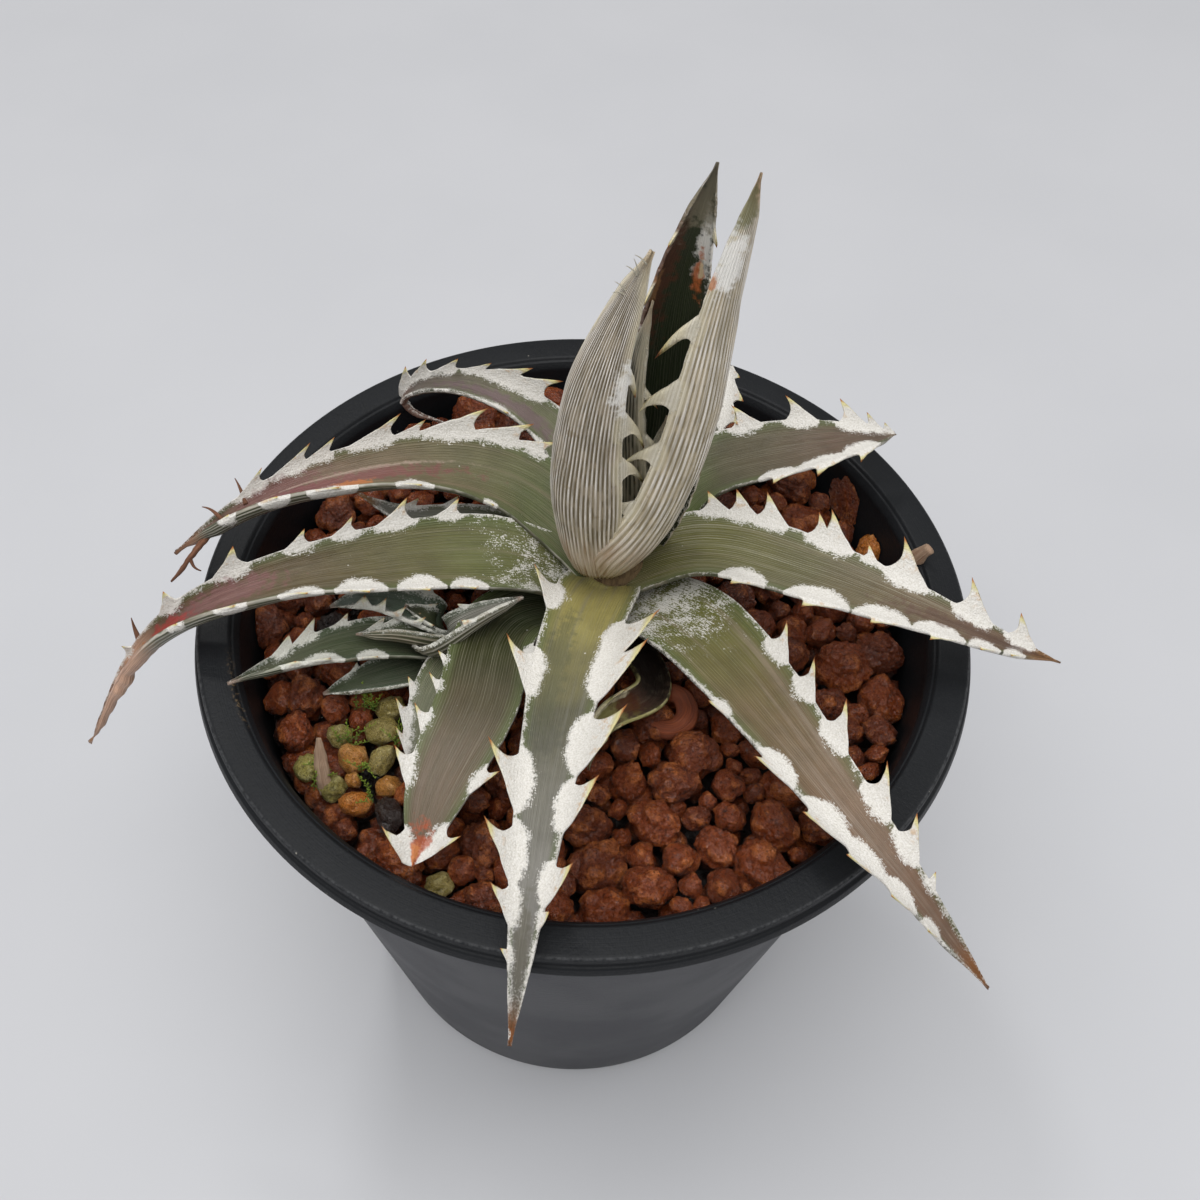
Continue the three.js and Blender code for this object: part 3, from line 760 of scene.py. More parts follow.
    def back(self, t: ShaderTree, ribs: Value, streaks: Value, flat: Value) -> Value:
        """Colour of the outer face: pale felted ribs with dark gaps and worn patches.

        Args:
            t: the material's tree.
            ribs: the ribs' lines.
            streaks: fine lengthwise noise.
            flat: the blade's map.

        Returns:
            The colour.
        """
        pale = t.mix(t.step(streaks, 0.2, 0.8, 0.0, 0.35), self.under_pale, self.under_patch)
        colour = t.mix(ribs, self.under_dark, pale)
        worn = t.effect(Effect.MOTTLE, Place=t.stretched(flat, (260.0, 7.0, 1.0)), Scale=1.0)
        share = t.step(worn, 0.45, 0.85) * self.under_patch_share
        colour = t.mix(share, colour, self.under_patch)
        if self.joint_share:
            joints = t.noise(t.stretched(flat, (420.0, 3.0, 1.0)), 1.0, 2)
            colour = t.mix(t.step(joints, 0.66, 0.72, 0.0, self.joint_share), colour, "8f7a52")
        if self.under_foot_to:
            low = t.mark("along") + streaks * 0.1
            foot = t.step(low, self.under_foot_to + 0.1, self.under_foot_to - 0.02, 0.0, 0.85)
            colour = t.mix(foot, colour, t.mix(t.step(streaks, 0.35, 0.65, 0.0, 0.6), self.under_foot, pale))
        return colour


@dataclass(frozen=True)
class GrainFinish:
    """Wet baked-clay grains in patchy tones, with painted shade in creases, pits and deep grains and painted highlight
    on lumps and crumbs.
    """

    dark: str = "4a1a07"
    middle: str = "9a430e"
    # light: the clay's paler tone, also laid on raised lumps and crumbs as painted highlight
    light: str = "e08038"
    other: str = "80370f"
    # deep: painted shade, near black, for creases and for the grains and bed low in the pot
    deep: str = "0a0402"
    roughness: float = 0.42

    def material(self, name: str) -> Material:
        """Builds the finish.

        Args:
            name: the material's name.

        Returns:
            The material.
        """
        t = Finish(name, self.roughness, Coat_Weight=0.9, Coat_Roughness=0.12)
        place = t.coordinates("Object")
        tint, lift, lump = t.mark("tint"), t.mark("lift"), t.mark("lump")
        patches = t.noise(place, 620, 4, 0.65)
        crumbs = t.noise(place, 2300, 4, 0.75)
        # Random patches give the clay's own tone; the lump and crumb heights add painted light, lighter on lump tops
        # and darker in creases.
        tone_and_painted_light = patches * 0.62 + lump * 0.34
        tone_and_painted_light = tone_and_painted_light + crumbs * 0.34
        middle = t.mix(t.step(tint, 0.5, 0.75), self.middle, self.other)
        colour = t.mix(t.step(tone_and_painted_light, 0.3, 0.62), self.dark, middle)
        colour = t.mix(t.step(tone_and_painted_light, 0.66, 0.98, 0.0, 0.85), colour, self.light)
        # Painted shade in the crumbs' pits and painted highlight on their tops.
        colour = t.mix(t.step(crumbs, 0.47, 0.33, 0.0, 0.75), colour, self.dark)
        colour = t.mix(t.step(crumbs, 0.56, 0.72, 0.0, 0.65), colour, self.light)
        # Painted shade: near black in the creases and on everything low in the pot.
        colour = t.mix(t.step(lump, 0.12, 0.0, 0.0, 0.45), colour, self.deep)
        colour = t.mix(t.step(lift, 0.5, 0.0, 0.0, 0.92), colour, self.deep)
        t.put("Base Color", colour)
        t.put("Roughness", t.step(patches, 0.3, 0.7, self.roughness - 0.16, self.roughness + 0.16))
        broad = t.bump(t.noise(place, 900, 4, 0.75), 2.6)
        wet = t.bump(crumbs, 0.7, broad)
        t.put("Normal", wet)
        t.put("Coat Normal", wet)
        return t.material


@dataclass(frozen=True)
class PlasticFinish:
    """Black moulded plastic with fine turning lines, worn patches and dust, a painted highlight along the rim's outer
    corner and painted bounce light on the outer wall.

    The edge radii are those of the rim's outer corner, which takes a painted highlight, and of its inner
    corner, which takes dust. Pairs of heights or radii are where a mask starts and where it is full. All are in
    millimetres.
    """

    colour: str = "141619"
    worn: str = "25272a"
    # painted bounce light: the lighter grey of the outer wall under the rim
    lit_wall: str = "3a3b40"
    dust: str = "b5b1a6"
    # colour of the painted highlight on the rim's outer corner
    edge: str = "6c6d6f"
    tan: str = "a98d68"
    # radius of the painted highlight along the rim's outer corner
    highlight_edge: float = 52.1
    dusty_edge: float = 48.0
    rim_top: Pair = (87.6, 88.0)
    lit_wall_top: Pair = (85.6, 84.5)
    wall_foot: Pair = (33.8, 34.1)
    wall_slope: float = 0.172
    dusty_front: Pair = (-8.0, -20.0)
    roughness: float = 0.4
    gloss: float = 0.22

    def material(self, name: str) -> Material:
        """Builds the finish.

        Args:
            name: the material's name.

        Returns:
            The material.
        """
        t = Finish(name, self.roughness, Specular_IOR_Level=self.gloss)
        place = t.coordinates("Object")
        x, y, z = t.split(place)
        radius = t.math("SQRT", x * x + y * y)
        profile = radius + z
        turned = t.noise(t.vector(profile * 5200, 0.0, 0.0), 1.0, 2)
        ray = t.vector(x / radius, y / radius, profile * 6)
        brushed = t.noise(ray, 260, 3, 0.7)
        peel = t.noise(place, 2100, 2)
        patches = t.effect(Effect.MOTTLE, Place=place, Scale=45.0)
        colour = t.mix(t.step(brushed, 0.5, 0.75, 0.0, 0.35), self.colour, self.worn)
        colour = t.mix(patches * 0.25, colour, self.worn)
        # Painted bounce light: the outer wall below the rim is a lighter grey than the rim.
        outside = self.beyond(t, radius - z * self.wall_slope, self.wall_foot)
        lit_wall = self.beyond(t, z, self.lit_wall_top) * outside
        colour = t.mix(lit_wall * t.step(patches, 0.0, 1.0, 0.7, 1.0), colour, self.lit_wall)
        rough = t.noise(place, 1500, 4, 0.75)
        # Painted highlight: a ragged light line where the rim's rounded outer corner catches the light.
        edge_highlight = self.ring(t, radius, z, self.highlight_edge, 0.25, t.step(rough, 0.35, 0.65, 0.05, 0.4))
        colour = t.mix(edge_highlight, colour, self.edge)
        front = t.step(t.noise(place, 34, 1), 0.58, 0.68, 0.0, 0.4) * self.beyond(t, y, self.dusty_front)
        dusty = t.step(rough, 0.5, 0.66) * front
        colour = t.mix(self.ring(t, radius, z, self.dusty_edge, 0.7, dusty), colour, self.tan)
        specks = t.effect(Effect.SPECKS, Place=place, Scale=520.0, Share=0.07)
        colour = t.mix(specks * 0.8, colour, self.dust)
        t.put("Base Color", colour)
        t.put("Roughness", t.step(patches, 0.0, 1.0, self.roughness, self.roughness + 0.12))
        height = turned * 0.5 + brushed * 0.5
        t.put("Normal", t.bump(height + peel * 0.7, 0.07))
        return t.material

    @staticmethod
    def beyond(t: ShaderTree, value: Value, limits: Pair) -> Value:
        """A mask that rises from 0 at the first limit to 1 at the second."""
        return t.step(value, limits[0] * MM, limits[1] * MM)

    def ring(self, t: ShaderTree, radius: Value, z: Value, middle: float, reach: float, share: Value) -> Value:
        """A share of a mask that is 1 on a narrow ring of the rim's top.

        Args:
            t: the material's tree.
            radius: distance from the axis, in metres.
            z: height, in metres.
            middle: the ring's radius in millimetres.
            reach: half its width in millimetres.
            share: how strong it is from place to place.

        Returns:
            The mask.
        """
        apart = t.math("ABSOLUTE", radius - middle * MM)
        near = t.step(apart, reach * MM, 0.0) * self.beyond(t, z, self.rim_top)
        return near * share


@dataclass(frozen=True)
class WoodFinish:
    """Weathered bark or stem with fibres along its map."""

    pale: str = "e4cab0"
    dark: str = "8d674b"
    roughness: float = 0.85

    def material(self, name: str) -> Material:
        """Builds the finish.

        Args:
            name: the material's name.

        Returns:
            The material.
        """
        t = Finish(name, self.roughness)
        flat = t.coordinates("UV")
        fibres = t.noise(t.stretched(flat, (160.0, 22.0, 1.0)), 1.0, 5, 0.65)
        colour = t.ramp(fibres, [(0.3, self.dark), (0.7, self.pale)])
        blots = t.effect(Effect.MOTTLE, Place=t.coordinates("Object"), Scale=350.0)
        colour = t.mix(blots * 0.4, colour, self.dark)
        t.put("Base Color", colour)
        t.put("Normal", t.bump(fibres, 0.25))
        return t.material


@dataclass(frozen=True)
class MossFinish:
    """Bright moss, yellower towards the tips of its leaflets."""

    foot: str = "334a18"
    tip: str = "8fa636"
    roughness: float = 0.6

    def material(self, name: str) -> Material:
        """Builds the finish.

        Args:
            name: the material's name.

        Returns:
            The material.
        """
        t = Finish(name, self.roughness)
        blots = t.effect(Effect.MOTTLE, Place=t.coordinates("Object"), Scale=900.0)
        share = t.mark("along") + blots * 0.3
        t.put("Base Color", t.mix(share, self.foot, self.tip))
        return t.material


# ---- blades

MARGIN = 0.24  # thin rim along a blade's edge, between the teeth
EDGE_THICKNESS = 0.6  # of a blade at its margins
TIP_THINNING = 0.55  # share of its thickness that a blade loses towards the tip
TIP_HALF_WIDTH = 0.12
FULL_DEPTH = 1.2  # half width from which a blade has its full depth
LEAST_DEPTH = 0.25  # share of it that a narrower one keeps
ROW_STEP = 1.0  # longest step between two rows of points
FRINGE_STEP = 0.5  # and beside the teeth
ROW_MERGE = 0.11  # rows closer together than this become one
SPIKE_BACK = 0.16  # reach of a tooth's slim point towards the foot, over the tooth's length
SPIKE_FORE = 0.34
BACK_POWER = 2.0
TOOTH_ROWS = np.array([0.03, 0.07, 0.12, 0.18, 0.25, 0.34, 0.44, 0.56, 0.7, 0.85, 0.95, 1.0])
STRIP = np.array([0.16, 0.36, 0.58, 0.8, 1.0])  # columns of points across the toothed band


class Side(Enum):
    """The margins of a blade, seen from its foot with the inner face up."""

    RIGHT = -1
    LEFT = 1


@dataclass(frozen=True)
class Cut:
    """How the teeth of a margin are formed, in lengths of a tooth."""

    hook: float = 0.5  # how far the point leans back towards the foot
    slim: float = 0.15  # share of the height that a slim point adds
    fore: float = 1.2  # margin that a tooth takes towards the tip
    back: float = 0.38  # and towards the foot
    power: float = 1.3  # bulge of the side towards the tip; below one it is hollow
    tall: float = 1.0  # height over the length given for a tooth
    felt: float = 0.3  # how far the scurf reaches into the blade beside a tooth
    bare: float = 0.14  # how far it draws back elsewhere, in millimetres
    ragged: float = 0.45  # unevenness of the margin between teeth


FLAME = Cut(slim=0.2, fore=1.15, back=0.55, power=0.8)
SWEPT = replace(FLAME, hook=0.7, fore=1.5, back=0.5, power=0.72)
UPRIGHT = replace(FLAME, hook=0.35, slim=0.25, fore=0.8, back=0.7, power=0.85)
BROAD = replace(FLAME, hook=0.4, slim=0.3, fore=0.9, back=0.65, power=1.15, felt=0.36)
LOBED = Cut(hook=0.4, slim=0.16, fore=1.0, back=0.55, power=2.3, felt=0.36)
LOW = Cut(hook=0.3, slim=0.25, fore=1.1, back=0.7, power=1.7, tall=0.8, felt=0.62)
PATCHED = Cut(hook=0.4, slim=0.3, fore=1.35, back=1.0, power=2.2, tall=0.36, felt=1.2, bare=1.2)
CLAW = Cut(hook=1.2, slim=0.4, fore=0.62, back=0.28, power=0.85, felt=0.1, ragged=0.8)
TORN = Cut(slim=0.3, fore=0.9, back=0.5, felt=0.05, bare=0.6, ragged=3.2)


@dataclass(frozen=True)
class Sections:
    """Where the rows of a blade's points lie: a share of the length and a section for each."""

    at: Array
    length: float
    origin: Array  # points of the path
    along: Array  # directions of the path
    side: Array  # directions across the blade
    face: Array  # directions in which the inner face looks
    bend: Array  # half the angle that a section bends through
    half: Array  # half widths

    @property
    def run(self) -> Array:
        """Distances along the blade."""
        return self.at * self.length


@dataclass(frozen=True)
class Blade:
    """One toothed blade along a cubic B-spline, as in the part's source.

    up is where the inner face looks, cup half the angle that a section bends through, and roll
    the turn about the path, both in degrees at even steps from foot to tip. Teeth are places
    along the blade with lengths. A tilt turns a margin's teeth up or down out of the blade, in
    degrees. A tucked blade loses that share of its width at the very foot.
    """

    name: str
    path: tuple[Point, ...]
    width: float
    base: float
    widest: float
    taper: float
    cup: tuple[float, ...]
    thick: float
    left: Teeth = ()
    right: Teeth = ()
    roll: tuple[float, ...] = (0, 0)
    up: Point = (0, 0, 1)
    left_tilt: float = 10
    right_tilt: float = 10
    left_cut: Cut = FLAME
    right_cut: Cut = FLAME
    columns: int = 15
    ribs: int = 0
    rib_height: float = 0.0
    shrivel: float = 0.0
    tuck: float = 0.0
    scurf: float = 0.0
    finish: BladeFinish = BladeFinish()

    def half_width(self, at: Array) -> Array:
        """Half the blade's width: it widens to its widest place, then narrows late by a power."""
        rise = self.base + (1 - self.base) * smooth(0, self.widest, at)
        fall = 1 - np.maximum(0, (at - self.widest) / (1 - self.widest)) ** self.taper
        return self.width / 2 * rise * fall * (1 - self.tuck * (1 - smooth(-0.03, 0.12, at)))

    def rows(self, length: float) -> Array:
        """Places of the rows of points: even steps, and closer ones round each tooth.

        Args:
            length: the blade's length.

        Returns:
            Shares of the length, in order.
        """
        marks = [np.linspace(0, 1, int(length / ROW_STEP) + 2)]
        centres = np.array([at for at, _ in (*self.left, *self.right)])
        if len(centres):
            marks.append(np.arange(centres.min(), min(1, centres.max() + 0.08), FRINGE_STEP / length))
        for cut, teeth in ((self.left_cut, self.left), (self.right_cut, self.right)):
            for at, size in teeth:
                reach = size / length * TOOTH_ROWS
                marks += [at + reach * cut.fore, at - reach * cut.back]
        loose = np.sort(np.clip(np.concatenate(marks), 0, 1))
        gap = ROW_MERGE / length
        if len(centres):
            loose = loose[np.abs(loose[:, None] - centres[None]).min(axis=1) > gap * 0.8]
        kept = np.sort(np.concatenate([loose, centres, [0, 1]]))
        firm = np.isin(kept, np.concatenate([centres, [0, 1]]))
        wide = np.concatenate([[True], np.diff(kept) > gap])
        return np.unique(kept[wide | firm])

    def margin(self, run: Array, teeth: Teeth, cut: Cut, seed: int) -> dict[str, Array]:
        """Outline of a toothed margin along the blade.

        A tooth's height is 1 - x^power towards the tip and (1 - x)^2 towards the foot, where x
        is the distance from its middle over its reach; a slim point adds to it. The highest
        tooth counts. The scurf reaches in by the square root of 1 - x^2.

        Args:
            run: distances along the blade.
            teeth: places and lengths, the places in the same measure as run.
            cut: the form of the teeth.
            seed: for the small unevenness.

        Returns:
            height: how far the margin stands out, lean: how it bends back for each square
            millimetre of height, share: height over the tooth's length, felt: how far the
            scurf reaches into the blade.
        """
        uneven = line_noise(run, 0.9, seed) * 0.6 + line_noise(run, 0.35, seed + 1) * 0.4
        height = MARGIN * np.maximum(1 + cut.ragged * uneven, 0.2)
        lean = np.zeros_like(run)
        share = np.zeros_like(run)
        felt = -cut.bare + 0.22 * line_noise(run, 2.6, seed + 2)
        if teeth:
            centre, size = np.array(teeth).T
            apart = run[:, None] - centre[None]
            fore = apart > 0
            away = np.clip(np.abs(apart) / (size * np.where(fore, cut.fore, cut.back)), 0, 1)
            lobe = np.where(fore, 1 - away ** cut.power, (1 - away) ** BACK_POWER)
            slim = np.clip(1 - np.abs(apart) / (size * np.where(fore, SPIKE_FORE, SPIKE_BACK)), 0, 1)
            full = size * cut.tall
            each = full * ((1 - cut.slim) * lobe + cut.slim * slim ** 1.3)
            owner = each.argmax(axis=1)
            tallest = each.max(axis=1)
            above = tallest > height
            lean = np.where(above, cut.hook / full[owner], 0)
            share = np.where(above, tallest / full[owner], 0)
            height = np.maximum(height, tallest * (1 + 0.13 * uneven * (share < 0.75)))
            felt = felt + (cut.felt * size * np.sqrt(1 - away * away)).max(axis=1)
        return {"height": height, "lean": lean, "share": share, "felt": felt + self.scurf}

    def seed(self) -> int:
        """A number of its own for each blade, from its name."""
        return sum(ord(letter) * (i + 3) for i, letter in enumerate(self.name))

    def sections(self) -> Sections:
        """Sets out the rows of points.

        Returns:
            The frame and the form of each row's section.
        """
        _, _, length = along_path(self.path, np.array([0.0, 1.0]))
        at = self.rows(length)
        origin, along, _ = along_path(self.path, at)
        up = np.array(self.up, float)
        face = unit(up - along * (along @ up)[:, None])
        side = np.cross(face, along)
        roll = np.radians(even_steps(at, self.roll))[:, None]
        face, side = face * np.cos(roll) + side * np.sin(roll), side * np.cos(roll) - face * np.sin(roll)
        bend = np.radians(even_steps(at, self.cup))[:, None]
        half = np.maximum(self.half_width(at), TIP_HALF_WIDTH)[:, None]
        return Sections(at, length, origin, along, side, face, bend, half)

    def surface(self) -> Surface:
        """The blade as a closed shell.

        A point of the inner face lies on an arc across the blade: origin + side sin(bend v)
        half/bend + face (1 - cos(bend v)) half/bend, where v goes from -1 to 1. The outer
        face lies beneath it by a depth that falls to the margins. The toothed band goes on
        along the arc's end direction, leans back towards the foot with the square of its
        height, and ends in a thin edge that both faces share.

        Returns:
            The surface, with its marks and a map of distance along and share across.
        """
        rows = self.sections()
        side, face, half = rows.side[:, None], rows.face[:, None], rows.half
        v = np.linspace(-1, 1, self.columns)[None, :]
        if not self.ribs:
            v = np.sin(v * np.pi / 2)
        turn = rows.bend * v
        across = (np.sin(turn) * half / rows.bend)[..., None] * side
        lift = ((1 - np.cos(turn)) * half / rows.bend)[..., None] * face
        inner = rows.origin[:, None] + across + lift
        normal = np.cos(turn)[..., None] * face - np.sin(turn)[..., None] * side
        core = self.thick * (1 - TIP_THINNING * rows.at)[:, None]
        fade = np.maximum(np.minimum(1, half / FULL_DEPTH), LEAST_DEPTH)
        depth = (EDGE_THICKNESS + np.maximum(0, core - EDGE_THICKNESS) * (1 - v * v)) * fade
        right, left = (self.strip(edge, rows, inner, depth) for edge in Side)
        scurf = np.where(v < 0, right["felt"][:, None], left["felt"][:, None]) - (1 - np.abs(v)) * half
        plain = np.zeros(depth.shape)
        middle = {"points": inner, "normal": normal, "depth": depth, "scurf": scurf, "hook": plain, "rim": plain}
        whole = {name: np.concatenate([right[name][:, ::-1], values, left[name]], axis=1)
                 for name, values in middle.items()}
        spread = np.concatenate([-1 - right["out"][:, ::-1] / half, plain + v, 1 + left["out"] / half], axis=1)
        return self.shell(rows, whole, spread)

    def strip(self, edge: Side, rows: Sections, inner: Array, depth: Array) -> dict[str, Array]:
        """The toothed band beyond one margin.

        Args:
            edge: which margin.
            rows: the blade's sections.
            inner: points of the inner face.
            depth: depths beneath it.

        Returns:
            Points, normals, depths and marks, in rows along the blade and columns outwards.
        """
        sign = edge.value
        teeth, cut, tilt = self.right, self.right_cut, self.right_tilt
        if edge is Side.LEFT:
            teeth, cut, tilt = self.left, self.left_cut, self.left_tilt
        teeth = tuple((at * rows.length, size) for at, size in teeth)
        outline = self.margin(rows.run, teeth, cut, self.seed() + 7 * sign)
        root = inner[:, 0] if edge is Side.RIGHT else inner[:, -1]
        out = sign * np.cos(rows.bend) * rows.side + np.sin(rows.bend) * rows.face
        normal = np.cos(rows.bend) * rows.face - sign * np.sin(rows.bend) * rows.side
        narrow = 1 - 0.6 * smooth(0.85, 1, rows.at) * (outline["share"] == 0)
        height = outline["height"] * narrow
        y = height[:, None] * STRIP[None, :]
        rise = y * np.sin(radians(tilt)) * np.minimum(1, y / 2)
        lean = outline["lean"][:, None] * y * y
        points = (root[:, None] + out[:, None] * (y * np.cos(radians(tilt)))[..., None]
                  + normal[:, None] * rise[..., None] - rows.along[:, None] * lean[..., None])
        first = depth[:, 0] if edge is Side.RIGHT else depth[:, -1]
        thinning = np.sqrt(1 - STRIP ** 2)[None, :] * (1 - 0.35 * outline["share"][:, None])
        return {
            "points": points,
            "normal": np.broadcast_to(normal[:, None], points.shape),
            "depth": first[:, None] * thinning,
            "scurf": np.broadcast_to(outline["felt"][:, None], y.shape) + y,
            "hook": STRIP[None, :] * outline["share"][:, None],
            "rim": np.broadcast_to(STRIP[None, :], y.shape),
            "out": y,
            "felt": outline["felt"],
        }

    def shell(self, rows: Sections, whole: dict[str, Array], spread: Array) -> Surface:
        """Closes the inner face with the outer one.

        Args:
            rows: the blade's sections.
            whole: points, normals, depths and marks of the inner face with both bands.
            spread: places across the blade, beyond one on the bands.

        Returns:
            The closed surface.
        """
        inner, normal, depth = whole["points"], whole["normal"], whole["depth"]
        count, columns = depth.shape
        swell = lattice_noise(inner / 9.0, self.seed()) * 0.22 + lattice_noise(inner / 3.5, self.seed() + 1) * 0.07
        if self.shrivel:
            dry = smooth(self.finish.dry_from - 0.12, 1, rows.at)[:, None]
            swell = swell + self.shrivel * dry * lattice_noise(inner / 1.6, self.seed() + 2)
        inner = inner + normal * swell[..., None]
        ribs = self.rib_height * np.cos(self.ribs * np.pi * spread) * (np.abs(spread) < 1)
        outer = inner - normal * (depth + ribs)[..., None]
        table = np.arange(count * columns).reshape(count, columns)
        beneath = table.copy()
        beneath[:, 1:-1] = count * columns + np.arange(count * (columns - 2)).reshape(count, columns - 2)
        caps = [np.stack([beneath[0], table[0]]), np.stack([table[-1], beneath[-1]])]
        faces = [grid_faces(table), grid_faces(beneath)[:, ::-1], *(grid_faces(cap) for cap in caps)]

        def both(values: Array, back: Array | None = None) -> Array:
            """Values of the inner face, then of the outer face without its shared margins."""
            other = values if back is None else back
            within = other[:, 1:-1].reshape(count * (columns - 2), -1)
            return np.concatenate([values.reshape(count * columns, -1), within])

        ones = np.ones((count, columns))
        under = ones * 0.0
        under[:, [0, -1]] = 0.4
        marks = {
            "along": both(ones * rows.at[:, None])[:, 0],
            "across": both(np.abs(spread))[:, 0],
            "under": both(under, ones)[:, 0],
            **{name: both(whole[name])[:, 0] for name in ("scurf", "hook", "rim")},
        }
        flat = np.stack([ones * rows.run[:, None] * MM, (spread + 1) / 2], axis=-1)
        return Surface(both(inner, outer), np.concatenate(faces), marks, both(flat))

    def build(self, slot: str) -> Piece:
        """Makes the piece that stands for the solid of the same name."""
        material = self.finish.material(f"{self.name}_finish")
        return self.surface().piece(f"{self.name}_blade", material, slot, (self.name,))


@dataclass(frozen=True)
class Rosette:
    """A whorl of blades."""

    slot: str
    blades: tuple[Blade, ...]

    def build(self) -> list[Piece]:
        """Makes every blade."""
        return [blade.build("dry_leaf" if "dry" in blade.name else self.slot) for blade in self.blades]


STREAKED = BladeFinish(line_share=0.14, streak_share=0.18, thread_share=0.1)

